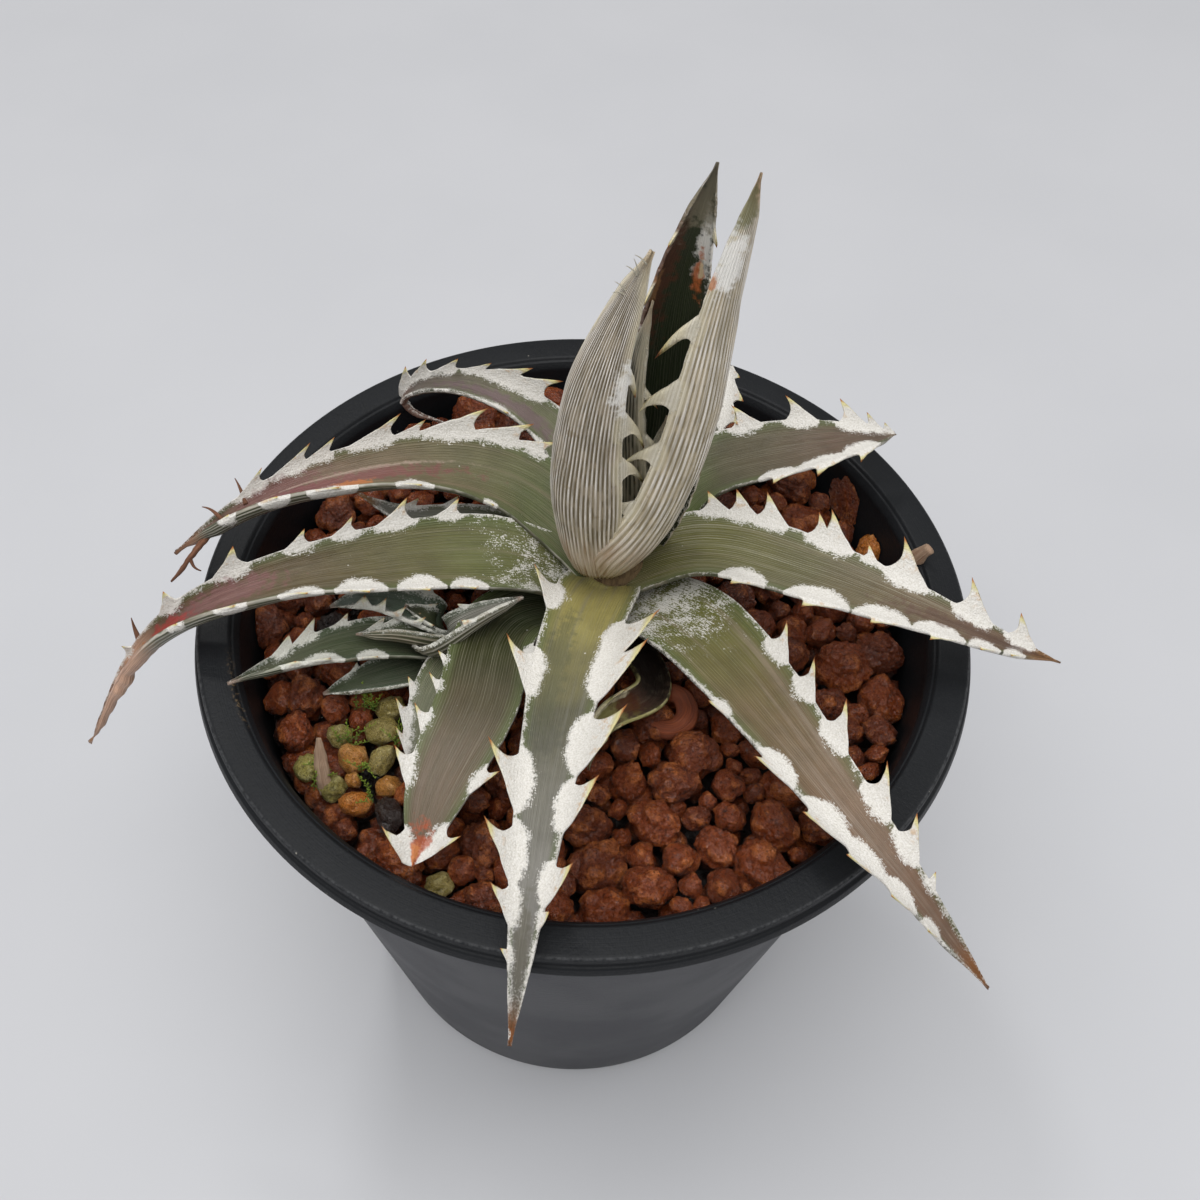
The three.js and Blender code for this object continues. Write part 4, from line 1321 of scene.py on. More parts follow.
ROSETTE = Rosette("leaf", (
    Blade(
        "leaf_left_upper",
        ((2, 7, 87.5), (-7, 15.5, 93), (-19, 15.5, 98), (-32, 10, 100.5), (-45, 5, 99.5), (-56, 1.5, 92)),
        11.5, 0.85, 0.2, 1.7, (28, 38, 66, 98), 2.2, roll=(0, 12, -2, -26),
        right=((0.24, 2.5), (0.29, 3.5), (0.37, 4), (0.46, 2), (0.52, 3.5), (0.64, 2.5), (0.69, 3), (0.78, 2.5)),
        left=((0.3, 1.5), (0.48, 2.5), (0.64, 3), (0.75, 2), (0.85, 1.5)),
        left_tilt=-45, left_cut=PATCHED, right_cut=SWEPT, shrivel=0.25,
        finish=replace(
            STREAKED, foot="5a6138", middle="6f6448", outer="84685a", dry_from=0.94, end="b58464", band="8d7a66",
            spots=(Spot(0.66, 0.26, 0.55, 0.16, "85434c", 0.55), Spot(0.6, 0.045, 0.74, 0.14, "d68443", 0.65),
                   Spot(0.76, 0.1, 0.35, 0.3, "7d4b4f", 0.5), Spot(0.6, 0.2, 0.4, 0.03, "b9a596", 0.5)),
        ),
    ),
    Blade(
        "leaf_right",
        ((5, 6, 88), (14.5, 7.5, 93.5), (25.5, 1, 97.5), (37.5, -5.5, 99.5), (49.5, -8.5, 97), (62.5, -9, 92)),
        12, 0.85, 0.2, 1.7, (22, 35), 2.2,
        left=((0.19, 3), (0.24, 3.5), (0.3, 4), (0.42, 3.5), (0.45, 4.5), (0.54, 2), (0.62, 5), (0.78, 4.5),
              (0.9, 3.5)),
        right=((0.32, 3), (0.475, 3.5), (0.6, 3), (0.71, 3), (0.81, 2), (0.88, 1.5)),
        right_tilt=-50, left_cut=UPRIGHT, right_cut=replace(PATCHED, tall=0.5, felt=1.05, bare=0.5),
        finish=BladeFinish(
            foot="6a6931", middle="5c5733", outer="70503a", line_share=0.3, line="c9c4ae", line_count=34,
            powder_share=0.1, scratch_share=0.6, spots=(Spot(0.82, 0.2, 0.5, 0.2, "64493e", 0.6),),
        ),
    ),
    Blade(
        "leaf_back_right",
        ((5, 8, 87), (10.5, 20, 90), (20, 21, 95.5), (32, 20.5, 100), (43, 26.5, 97)),
        12, 0.8, 0.25, 2.6, (20, 35), 2,
        left=((0.52, 3.5), (0.69, 4), (0.86, 4), (0.93, 2.5), (0.98, 1.5)),
        right=((0.605, 2.5), (0.715, 3), (0.83, 3)),
        right_tilt=-40, left_cut=UPRIGHT, right_cut=replace(PATCHED, tall=0.7, felt=0.8, bare=0.5),
        finish=replace(STREAKED, foot="5a6e36", middle="575339", outer="6b5648", powder_share=0.12,
                       scratch_share=0.8, dry_from=0.975, end="b9a58c", band="66604a"),
    ),
    Blade(
        "leaf_back_left",
        ((2, 9, 87), (0.5, 17, 89), (-2.5, 23.5, 90.5), (-7, 28, 93.5), (-14, 30.5, 97), (-22.5, 32.5, 97.5),
         (-29.5, 34, 93), (-29.5, 34, 88), (-21.5, 33, 87)),
        9, 0.9, 0.2, 0.9, (25, 65), 1.8, roll=(-8, 30),
        right=((0.46, 4), (0.52, 3.5), (0.59, 2), (0.66, 2), (0.73, 2.5), (0.78, 2.5)),
        left=((0.36, 2), (0.5, 2)),
        right_cut=SWEPT, shrivel=0.2,
        finish=BladeFinish(foot="5d6b42", middle="6c6c4c", outer="7c7068", dry_from=0.8, end="a9897b",
                       band="847078", spots=(Spot(0.5, 0.2, 0.6, 0.2, "7a5f6a", 0.6),)),
    ),
    Blade(
        "leaf_front",
        ((3, 6, 86), (0.5, -5, 94), (-2, -19.5, 96.5), (-3.5, -35.5, 97.5), (-4.5, -50, 95.5), (-5.5, -61.5, 86)),
        10.7, 0.9, 0.12, 1.5, (24, 38), 2.2,
        right=((0.17, 4.5), (0.37, 5), (0.58, 5.5), (0.7, 5), (0.78, 3.5), (0.86, 1.5)),
        left=((0.26, 6), (0.34, 6), (0.49, 6), (0.61, 4.5), (0.74, 3.5), (0.8, 1.5)),
        left_cut=LOBED, right_cut=BROAD,
        finish=BladeFinish(
            foot="9f9558", middle="5d5b46", outer="8a8782", line_share=0.08, band="7c7a70",
            band_share=0.5, dry_from=0.955, end="b8743f", powder_share=0.1, scratch_share=0.9, thread_share=0.1,
            streak_share=0.15, rib_depth=0.05,
            spots=(Spot(0.5, 0.05, 0.35, 0.28, "4f5046", 0.4), Spot(0.36, 0.16, 0.3, 0.16, "585a42", 0.5),
                   Spot(0.88, 0.1, 0.5, 0.4, "5a543c", 0.45)),
        ),
    ),
    Blade(
        "leaf_left_lower",
        ((1, 5, 85), (-8, 4, 91.5), (-17.5, 1.5, 95), (-27.5, -2.5, 97), (-38, -6.5, 98), (-48, -9.5, 96),
         (-56.5, -11.5, 90.5), (-62.5, -13.5, 81.5), (-67.5, -17, 72)),
        12, 0.85, 0.2, 1.1, (26, 38, 70, 105), 2.2, roll=(0, 12, -3, -30),
        right=((0.25, 2.5), (0.33, 3.5), (0.41, 2.5), (0.48, 2.5), (0.58, 3.5), (0.69, 2.5), (0.8, 1.5)),
        left=((0.24, 2.5), (0.315, 3), (0.405, 3), (0.49, 2.5), (0.59, 2), (0.68, 1.5)),
        left_tilt=-50, left_cut=PATCHED, right_cut=replace(UPRIGHT, fore=1.0), shrivel=0.8,
        finish=replace(
            STREAKED, foot="666a3a", middle="5d5030", outer="6c4a38", powder_share=0.75, powder_to=0.36,
            dry_from=0.76, end="d9b096",
            spots=(Spot(0.62, 0.1, 0.42, 0.3, "8b5a60", 0.55), Spot(0.72, 0.05, 0.45, 0.22, "b03a34", 0.75),
                   Spot(0.88, 0.1, 0.4, 0.25, "c98a3c", 0.6)),
        ),
    ),
    Blade(
        "leaf_front_right",
        ((4, 5, 84.5), (14, -4.5, 91.5), (22, -18.5, 95.5), (30, -33.5, 98), (40, -44.5, 94.5), (50.5, -50, 82)),
        13.5, 0.8, 0.2, 1.25, (20, 35), 2.2,
        left=((0.34, 3.5), (0.43, 3.5), (0.53, 4), (0.65, 4), (0.73, 3.5), (0.8, 1.5)),
        right=((0.4, 2), (0.53, 3.5), (0.63, 4), (0.7, 3.5), (0.77, 3), (0.84, 2)),
        left_cut=replace(BROAD, hook=0.55), right_cut=LOW,
        finish=BladeFinish(foot="6e703a", middle="6f5d40", outer="836450", powder_share=0.9, powder_to=0.42,
                       end="b4763f", line_share=0.12, band="9b8b7c", band_share=0.55,
                       scratch_share=0.7, streak_share=0.18, thread_share=0.12, rib_depth=0.06),
    ),
    Blade(
        "leaf_left_middle",
        ((1, 7, 83.5), (-7, 10, 87), (-16, 13, 89), (-26.5, 11.5, 89.5), (-33, 14, 92)),
        7, 0.85, 0.3, 1.4, (30, 40), 1.6,
        left=((0.5, 1.5), (0.7, 1.5)),
        right=((0.45, 1.5), (0.62, 1.5), (0.78, 1.5)),
        finish=BladeFinish(foot="3c4a2e", middle="4a5440", outer="8b8a83", line_share=0.6),
    ),
    Blade(
        "leaf_back",
        ((4, 9, 84), (10, 18.5, 88), (15.5, 28.5, 95), (19.5, 40, 96)),
        9, 0.8, 0.3, 2, (25, 35), 1.8,
        right=((0.73, 4), (0.83, 4), (0.94, 2.5)),
        left=((0.66, 3), (0.78, 3), (0.9, 2)),
        finish=BladeFinish(foot="5c7149", middle="68705a"),
    ),
    Blade(
        "leaf_front_left",
        ((1, 3, 83.5), (-9.5, -1, 87.5), (-12.5, -9.5, 90.5), (-12, -21, 93), (-16.5, -31, 92), (-19, -40.5, 86.5)),
        10.5, 0.8, 0.35, 4, (20, 22), 2,
        right=((0.47, 1.5), (0.56, 2), (0.68, 2.5), (0.79, 3), (0.96, 4)),
        left=((0.42, 4), (0.76, 3), (0.93, 4)),
        left_cut=replace(BROAD, bare=0.6), right_cut=replace(BROAD, bare=0.6), shrivel=0.2,
        finish=BladeFinish(
            foot="2a3417", middle="363717", outer="6d5b48", dry_from=0.97, end="b5603a", line_share=0.16,
            band="504b31", scratch_share=0.4, thread_share=0.08, streak_share=0.12, rib_depth=0.04,
            spots=(Spot(0.97, 0.07, 0.5, 0.4, "b4532c", 0.8), Spot(0.98, 0.035, 0.4, 0.25, "d98a4c", 0.7)),
        ),
    ),
    Blade(
        "leaf_front_left_under",
        ((0, 2, 82.5), (-13.5, -4, 84.5), (-20, -15, 88.5), (-21, -28.5, 85.5)),
        7, 0.8, 0.35, 2, (28, 28), 1.5,
        right=((0.69, 1.5), (0.78, 2.5), (0.86, 2)),
        left=((0.7, 1.5), (0.85, 1.5)),
        finish=BladeFinish(foot="3e4a2c", middle="54603c", outer="7d8066", line_share=0.5),
    ),
    Blade(
        "leaf_dry_front",
        ((4, 1, 81.5), (9.5, -8, 83.5), (9.5, -14.5, 86.5), (5.5, -17.5, 89), (1.8, -20.5, 88.5), (1.6, -25.5, 86)),
        5, 0.9, 0.4, 2, (40, 75), 0.9, roll=(0, 40),
        left=((0.78, 1.5), (0.88, 1.5)),
        right=((0.7, 1.5),),
        shrivel=0.3, scurf=-0.7,
        # Painted shade: the near-black foot, middle and first spot darken this dead leaf's brown where it lies in
        # shadow under leaf_front.
        finish=BladeFinish(
            foot="1d130c", middle="2a1710", outer="6b3220", dry_from=0.95, end="8a4a33", band="3d2417",
            under_pale="cdc68e", under_dark="9d9a5c", under_count=9.0, under_patch="8f8a55", edge="4a3220",
            scurf="efe9c9", speck_share=0.0,
            spots=(Spot(0.14, 0.36, 0.5, 1.4, "20150e", 0.95), Spot(0.84, 0.2, 0.55, 0.8, "9d975c", 0.9),
                   Spot(0.66, 0.06, 0.4, 0.4, "5c2c14", 0.9), Spot(0.92, 0.12, 0.95, 0.2, "e3d9b6", 0.95),
                   Spot(0.86, 0.2, 0.02, 0.12, "e3d9b6", 0.95)),
        ),
    ),
))

SILVER = BladeFinish(
    foot="7a7458", middle="2c3a1b", outer="3c3424", edge="6a6a4c", under_pale="fffaf4", under_dark="857861",
    under_count=21.0, under_patch="dccdb6", under_patch_share=0.3, scurf="efece4", powder_share=0.05,
    line_share=0.1, horn="ecdca0", point="cf6d28", roughness=0.6, scurf_share=0.4, tooth="f0e6c8",
    tooth_share=0.85, cream_share=0.55, under_width=0.72, under_foot_to=0.17, under_foot="a5886a", joint_share=0.35,
)

SHADED = replace(SILVER, under_count=10.0, under_dark="3b3a2a", under_pale="b9b3a2")

COLUMN = Rosette("column_leaf", (
    Blade(
        "column_right",
        ((4, 4.5, 90.5), (8.2, 1.6, 98.5), (12.5, 2.5, 111), (14.3, 4, 125), (14.6, 5.5, 139), (16.3, 8, 152.5)),
        11.8, 1.5, 0.28, 2.1, (92, 60), 1.1, roll=(-8, 0), up=(-0.77, 0.64, 0),
        right=((0.16, 3), (0.24, 4), (0.4, 5), (0.55, 6), (0.7, 4.5)),
        left=((0.45, 2), (0.65, 2)),
        left_cut=CLAW, right_cut=CLAW, columns=91, ribs=19, rib_height=0.07, tuck=0.5,
        finish=replace(
            SILVER, under_count=19.0, under_patch="e2d2b4", under_patch_share=0.35, under_dark="93866a",
            under_width=0.78, dry_from=0.965, end="d3843c",
            spots=(Spot(0.945, 0.05, 0.15, 0.4, "7d7c50", 0.75), Spot(0.845, 0.06, 0.16, 0.3, "fffdf8", 0.97),
                   Spot(0.8, 0.02, 0.0, 0.07, "cf7f3e", 0.8)),
        ),
    ),
    Blade(
        "column_left",
        ((-0.6, 3.6, 91), (-2.2, 1.6, 98), (-2.9, 0.5, 109.5), (-2, 0, 122), (0.5, 0.5, 134), (5.5, 4.5, 144.5)),
        13.4, 0.9, 0.3, 1.6, (78, 66), 1.1, roll=(8, 0), up=(0.57, 0.82, 0),
        left=((0.43, 5.5), (0.57, 6), (0.72, 3.5)),
        right=((0.5, 2), (0.6, 2), (0.72, 2), (0.8, 2), (0.88, 1.5)),
        left_cut=CLAW, right_cut=CLAW, columns=127, ribs=26, rib_height=0.08, tuck=0.25,
        finish=replace(SILVER, under_count=26.0, dry_from=0.985, under_dark="75684f", under_width=0.66,
                       spots=(Spot(0.7, 0.07, 0.98, 0.16, "fffdf8", 0.9),)),
    ),
    Blade(
        "column_back",
        ((4.5, 10, 88.5), (8, 10.5, 98), (9, 11.5, 111), (8.5, 12.5, 124.5), (9.5, 12.5, 137), (12, 13, 150)),
        12, 0.8, 0.3, 1.6, (50, 45), 1.2, up=(0, -1, 0),
        left=((0.6, 2), (0.72, 2), (0.84, 1.5)),
        right=((0.6, 2), (0.74, 2.5), (0.86, 1.5)),
        left_cut=TORN, right_cut=TORN,
        finish=replace(
            SILVER, foot="1e2c10", middle="212f12", outer="283216", edge="2c3318", band="2b3a18", cream_share=0.0,
            dry_from=0.97, end="a9a08a", powder_share=0.0, speck_share=0.05,
            spots=(Spot(0.76, 0.2, 0.97, 0.3, "5c3826", 0.9), Spot(0.83, 0.08, 0.12, 0.26, "f6f3ec", 0.97),
                   Spot(0.765, 0.05, 0.2, 0.12, "cb6e36", 0.9), Spot(0.78, 0.022, 0.16, 0.06, "eed9b0", 0.9),
                   Spot(0.94, 0.08, 0.5, 0.9, "8e8670", 0.85), Spot(0.73, 0.04, 0.98, 0.08, "a87a52", 0.9)),
        ),
    ),
    Blade(
        "column_inner_left",
        ((4, 6.5, 91.5), (5.5, 5.5, 99.5), (4.5, 5.5, 111.5), (4, 5.5, 124), (6, 7, 135.5)),
        6, 0.9, 0.3, 1.6, (45, 50), 1, up=(0.8, 0.5, 0),
        left=((0.55, 2.5), (0.72, 2)),
        left_cut=CLAW,
        finish=SHADED,
    ),
    Blade(
        "column_inner_front",
        ((5.5, 6.5, 91.5), (7.5, 5.5, 98), (8.5, 6, 108), (9, 6.5, 118)),
        6, 0.9, 0.3, 1.6, (50, 50), 1, up=(-0.3, 0.95, 0),
        right=((0.7, 2),),
        right_cut=CLAW,
        finish=SHADED,
    ),
))

YOUNG = BladeFinish(
    foot="39462a", middle="3f4c2c", outer="575c44", edge="45593c", band="46523a", scurf="e0e0d8",
    powder_share=0.3, powder_to=0.8, line_share=0.2, under_pale="a9ab9c", under_dark="39412d", under_count=11.0,
    horn="d9d6b8", point="b98a5e", dry_from=0.965, end="d8bfae",
)

OFFSET = Rosette("offset_leaf", (
    Blade(
        "offset_leaf_heart", ((-19.5, -4.5, 85), (-19.5, -5.5, 89), (-24, -5, 91.5)),
        3.4, 0.9, 0.3, 1.8, (50, 50), 0.9, left=((0.6, 1),), right=((0.6, 1),), columns=11, finish=YOUNG,
    ),
    Blade(
        "offset_leaf_inner_back",
        ((-19, -4, 84), (-19.5, -4.5, 88), (-23.5, -4, 90), (-29, -3.5, 91.5), (-34, -5.5, 91)),
        6, 0.85, 0.3, 1.8, (40, 45), 1,
        left=((0.36, 1.8), (0.5, 2), (0.64, 2), (0.78, 1.8)), right=((0.36, 2.4), (0.5, 2.8), (0.64, 2.8), (0.78, 2)),
        left_cut=UPRIGHT, left_tilt=60, right_cut=UPRIGHT, right_tilt=40, columns=13,
        finish=replace(YOUNG, foot="4d5f4c", middle="6a7d6c", outer="86938a", powder_share=0.5, powder_to=1.2),
    ),
    Blade(
        "offset_leaf_inner_front", ((-19, -6, 83.5), (-20, -8, 87.5), (-24, -8.5, 89.5), (-30, -9.5, 90.5)),
        6, 0.85, 0.3, 1.8, (80, 95), 1, roll=(-20, -35), right=((0.5, 1.5), (0.65, 1.5), (0.8, 1.5)), columns=25,
        ribs=9, rib_height=0.05, finish=replace(YOUNG, under_count=9.0, under_dark="4a4c36", under_pale="b4ad99"),
    ),
    Blade(
        "offset_leaf_right", ((-19.5, -7, 83), (-19.6, -9.6, 88.5), (-14.6, -7.8, 92.6), (-8.3, -4, 93.4)),
        7.5, 0.9, 0.3, 1.5, (60, 85), 1.1, roll=(20, 30), left=((0.6, 1),), right=((0.6, 1),), columns=31,
        ribs=9, rib_height=0.05,
        finish=replace(YOUNG, foot="45493a", middle="5f5e52", outer="7b786e", line_share=0.5, line="c9c7bd",
                       under_count=9.0, under_dark="5d5d49", under_pale="d0cdc2"),
    ),
    Blade(
        "offset_leaf_left",
        ((-20.5, -5.5, 82.5), (-24, -7.5, 87.5), (-32, -10, 89), (-38.5, -14.5, 90), (-45, -18.5, 90.8)),
        6.5, 0.85, 0.3, 1.6, (30, 40, 90), 1.4, roll=(0, 5, -30),
        right=((0.45, 1.5), (0.6, 2.5), (0.72, 2)), left=((0.36, 2), (0.58, 2.5), (0.72, 1.5)),
        left_cut=replace(PATCHED, bare=0.9), columns=21, finish=replace(YOUNG, under_count=9.0, under_pale="b4b5a4"),
    ),
    Blade(
        "offset_leaf_under", ((-20, -7, 82.5), (-22.5, -10, 84.5), (-28.5, -12.5, 84.8), (-34, -15.5, 85)),
        6, 0.85, 0.3, 1.6, (25, 40), 1, right=((0.7, 1),), columns=11, scurf=-0.1,
        finish=replace(YOUNG, foot="22301c", middle="2c3c24", outer="435036"),
    ),
))


# ---- pot


@dataclass(frozen=True)
class Pot:
    """Round pot: a tapered wall, a band round the rim, a flat base with drain holes."""

    height: float = 89
    rim_radius: float = 53
    rim_depth: float = 3.4
    wall_top_radius: float = 49.2
    base_radius: float = 34.5
    wall: float = 1.4
    ledge_radius: float = 46.8
    hole_radius: float = 3
    hole_circle: float = 21
    holes: int = 6
    hole_sides: int = 24
    overshoot: float = 2.0  # how far the drill stands out of the floor
    segments: int = 192
    finish: PlasticFinish = PlasticFinish()

    def corners(self) -> list[Point]:
        """The profile's corners, from the axis round to the axis again.

        Returns:
            Radius, height and the radius that rounds it, for each corner.
        """
        foot = self.height - self.rim_depth
        inner = self.base_radius - self.wall
        return [
            (0, 0, 0),
            (self.base_radius - 0.2, 0, 1.2),
            (self.wall_top_radius, foot, 0.5),
            (self.rim_radius - 0.3, foot, 0.3),
            (self.rim_radius, foot + 0.3, 0.3),
            (self.rim_radius - 0.3, foot + 1.5, 0.4),
            (self.rim_radius - 0.75, foot + 1.75, 0.2),
            (self.rim_radius - 0.65, self.height - 0.1, 0.9),
            (self.ledge_radius + 1.3, self.height - 0.25, 0.35),
            (self.ledge_radius + 0.95, self.height - 0.7, 0.2),
            (self.ledge_radius + 0.7, self.height - 0.75, 0.2),
            (self.ledge_radius, self.height - 1.7, 0.4),
            (self.ledge_radius - 0.1, self.height - 2.6, 0.4),
            (inner, self.wall, 1.0),
            (0, self.wall, 0),
        ]

    def profile(self) -> Array:
        """The profile with each corner rounded by a short curve of five points.

        Returns:
            Radius and height of each point.
        """
        corners = self.corners()
        points = np.array([corner[:2] for corner in corners])
        made = [points[:1]]
        for before, here, after, (_, _, radius) in zip(points, points[1:], points[2:], corners[1:]):
            back, on = before - here, after - here
            reach = min(radius, np.linalg.norm(back) * 0.45, np.linalg.norm(on) * 0.45)
            start, end = here + unit(back) * reach, here + unit(on) * reach
            t = np.linspace(0, 1, 5)[:, None]
            made.append((1 - t) ** 2 * start + 2 * t * (1 - t) * here + t ** 2 * end)
        made.append(points[-1:])
        line = np.vstack(made)
        gaps = np.linalg.norm(np.diff(line, axis=0), axis=1)
        counts = np.maximum(1, np.ceil(gaps / 9).astype(int))
        steps = [a + (b - a) * np.linspace(0, 1, n, endpoint=False)[:, None]
                 for a, b, n in zip(line, line[1:], counts)]
        return np.vstack([*steps, line[-1:]])

    def surface(self) -> Surface:
        """The profile turned about the pot's axis."""
        points, table = turned_grid(self.profile(), self.segments)
        return Surface(points, grid_faces(table)[:, ::-1])

    def build(self) -> Piece:
        """Makes the pot and drills its drain holes.

        Returns:
            The pot's piece.
        """
        material = self.finish.material("pot_plastic")
        pot = self.surface().piece("pot_shell", material, "pot", ("pot",))
        bits = []
        points, faces = self.drill()
        for angle in np.arange(self.holes) * tau / self.holes:
            centre = np.array([self.hole_circle * np.cos(angle), self.hole_circle * np.sin(angle), 0])
            bits.append(Surface(points + centre, faces))
        mesh = bpy.data.meshes.new("drill")
        every = bits[0].joined(bits[1:])
        mesh.from_pydata((every.points * MM).tolist(), [], every.faces.tolist())
        cutter = placed("drill", mesh)
        cut = pot.modifiers.new("holes", "BOOLEAN")
        cut.operation, cut.object, cut.solver = "DIFFERENCE", cutter, "EXACT"
        depsgraph = bpy.context.evaluated_depsgraph_get()
        drilled = bpy.data.meshes.new_from_object(pot.evaluated_get(depsgraph))
        pot.modifiers.clear()
        pot.data = drilled
        bpy.data.objects.remove(cutter)
        return pot

    def drill(self) -> tuple[Array, Array]:
        """A closed round bar for one hole.

        Returns:
            Its points and triangles.
        """
        sides = self.hole_sides
        angle = np.arange(sides) * tau / sides
        ring = np.stack([self.hole_radius * np.cos(angle), self.hole_radius * np.sin(angle)], axis=-1)
        low, high = -self.overshoot, 2 * self.wall + self.overshoot
        rings = [np.hstack([ring, np.full((sides, 1), level)]) for level in (low, high)]
        points = np.vstack([*rings, [[0, 0, low]], [[0, 0, high]]])
        a = np.arange(sides)
        b = (a + 1) % sides
        foot, top = np.full(sides, 2 * sides), np.full(sides, 2 * sides + 1)
        quads = [(a, b, b + sides), (a, b + sides, a + sides), (b, a, foot), (a + sides, b + sides, top)]
        return points, np.concatenate([np.stack(corner, axis=-1) for corner in quads])


# ---- soil


class Clay(Enum):
    """Kinds of grain, with a number for each."""

    RED = 0
    OCHRE = 1
    DARK = 2
    ORANGE = 3
    MOSSY = 4


RED, OCHRE, DARK, ORANGE, MOSSY = Clay

# Each kind's deep colour is its painted shade.
GRAIN_FINISH = {
    RED: GrainFinish(),
    OCHRE: GrainFinish(dark="7c6e36", middle="bca85e", light="e0d494", other="a8964e", deep="2a2010"),
    DARK: GrainFinish(
        dark="120d0b", middle="2b201c", light="4a3a33", other="33221c", deep="0a0706", roughness=0.35,
    ),
    ORANGE: GrainFinish(dark="a85618", middle="e2862e", light="fabd72", other="d6903c", deep="3a1c0a"),
    MOSSY: GrainFinish(
        dark="6c652c", middle="b6a952", light="e2d890", other="a3964a", deep="1c180c", roughness=0.8,
    ),
}


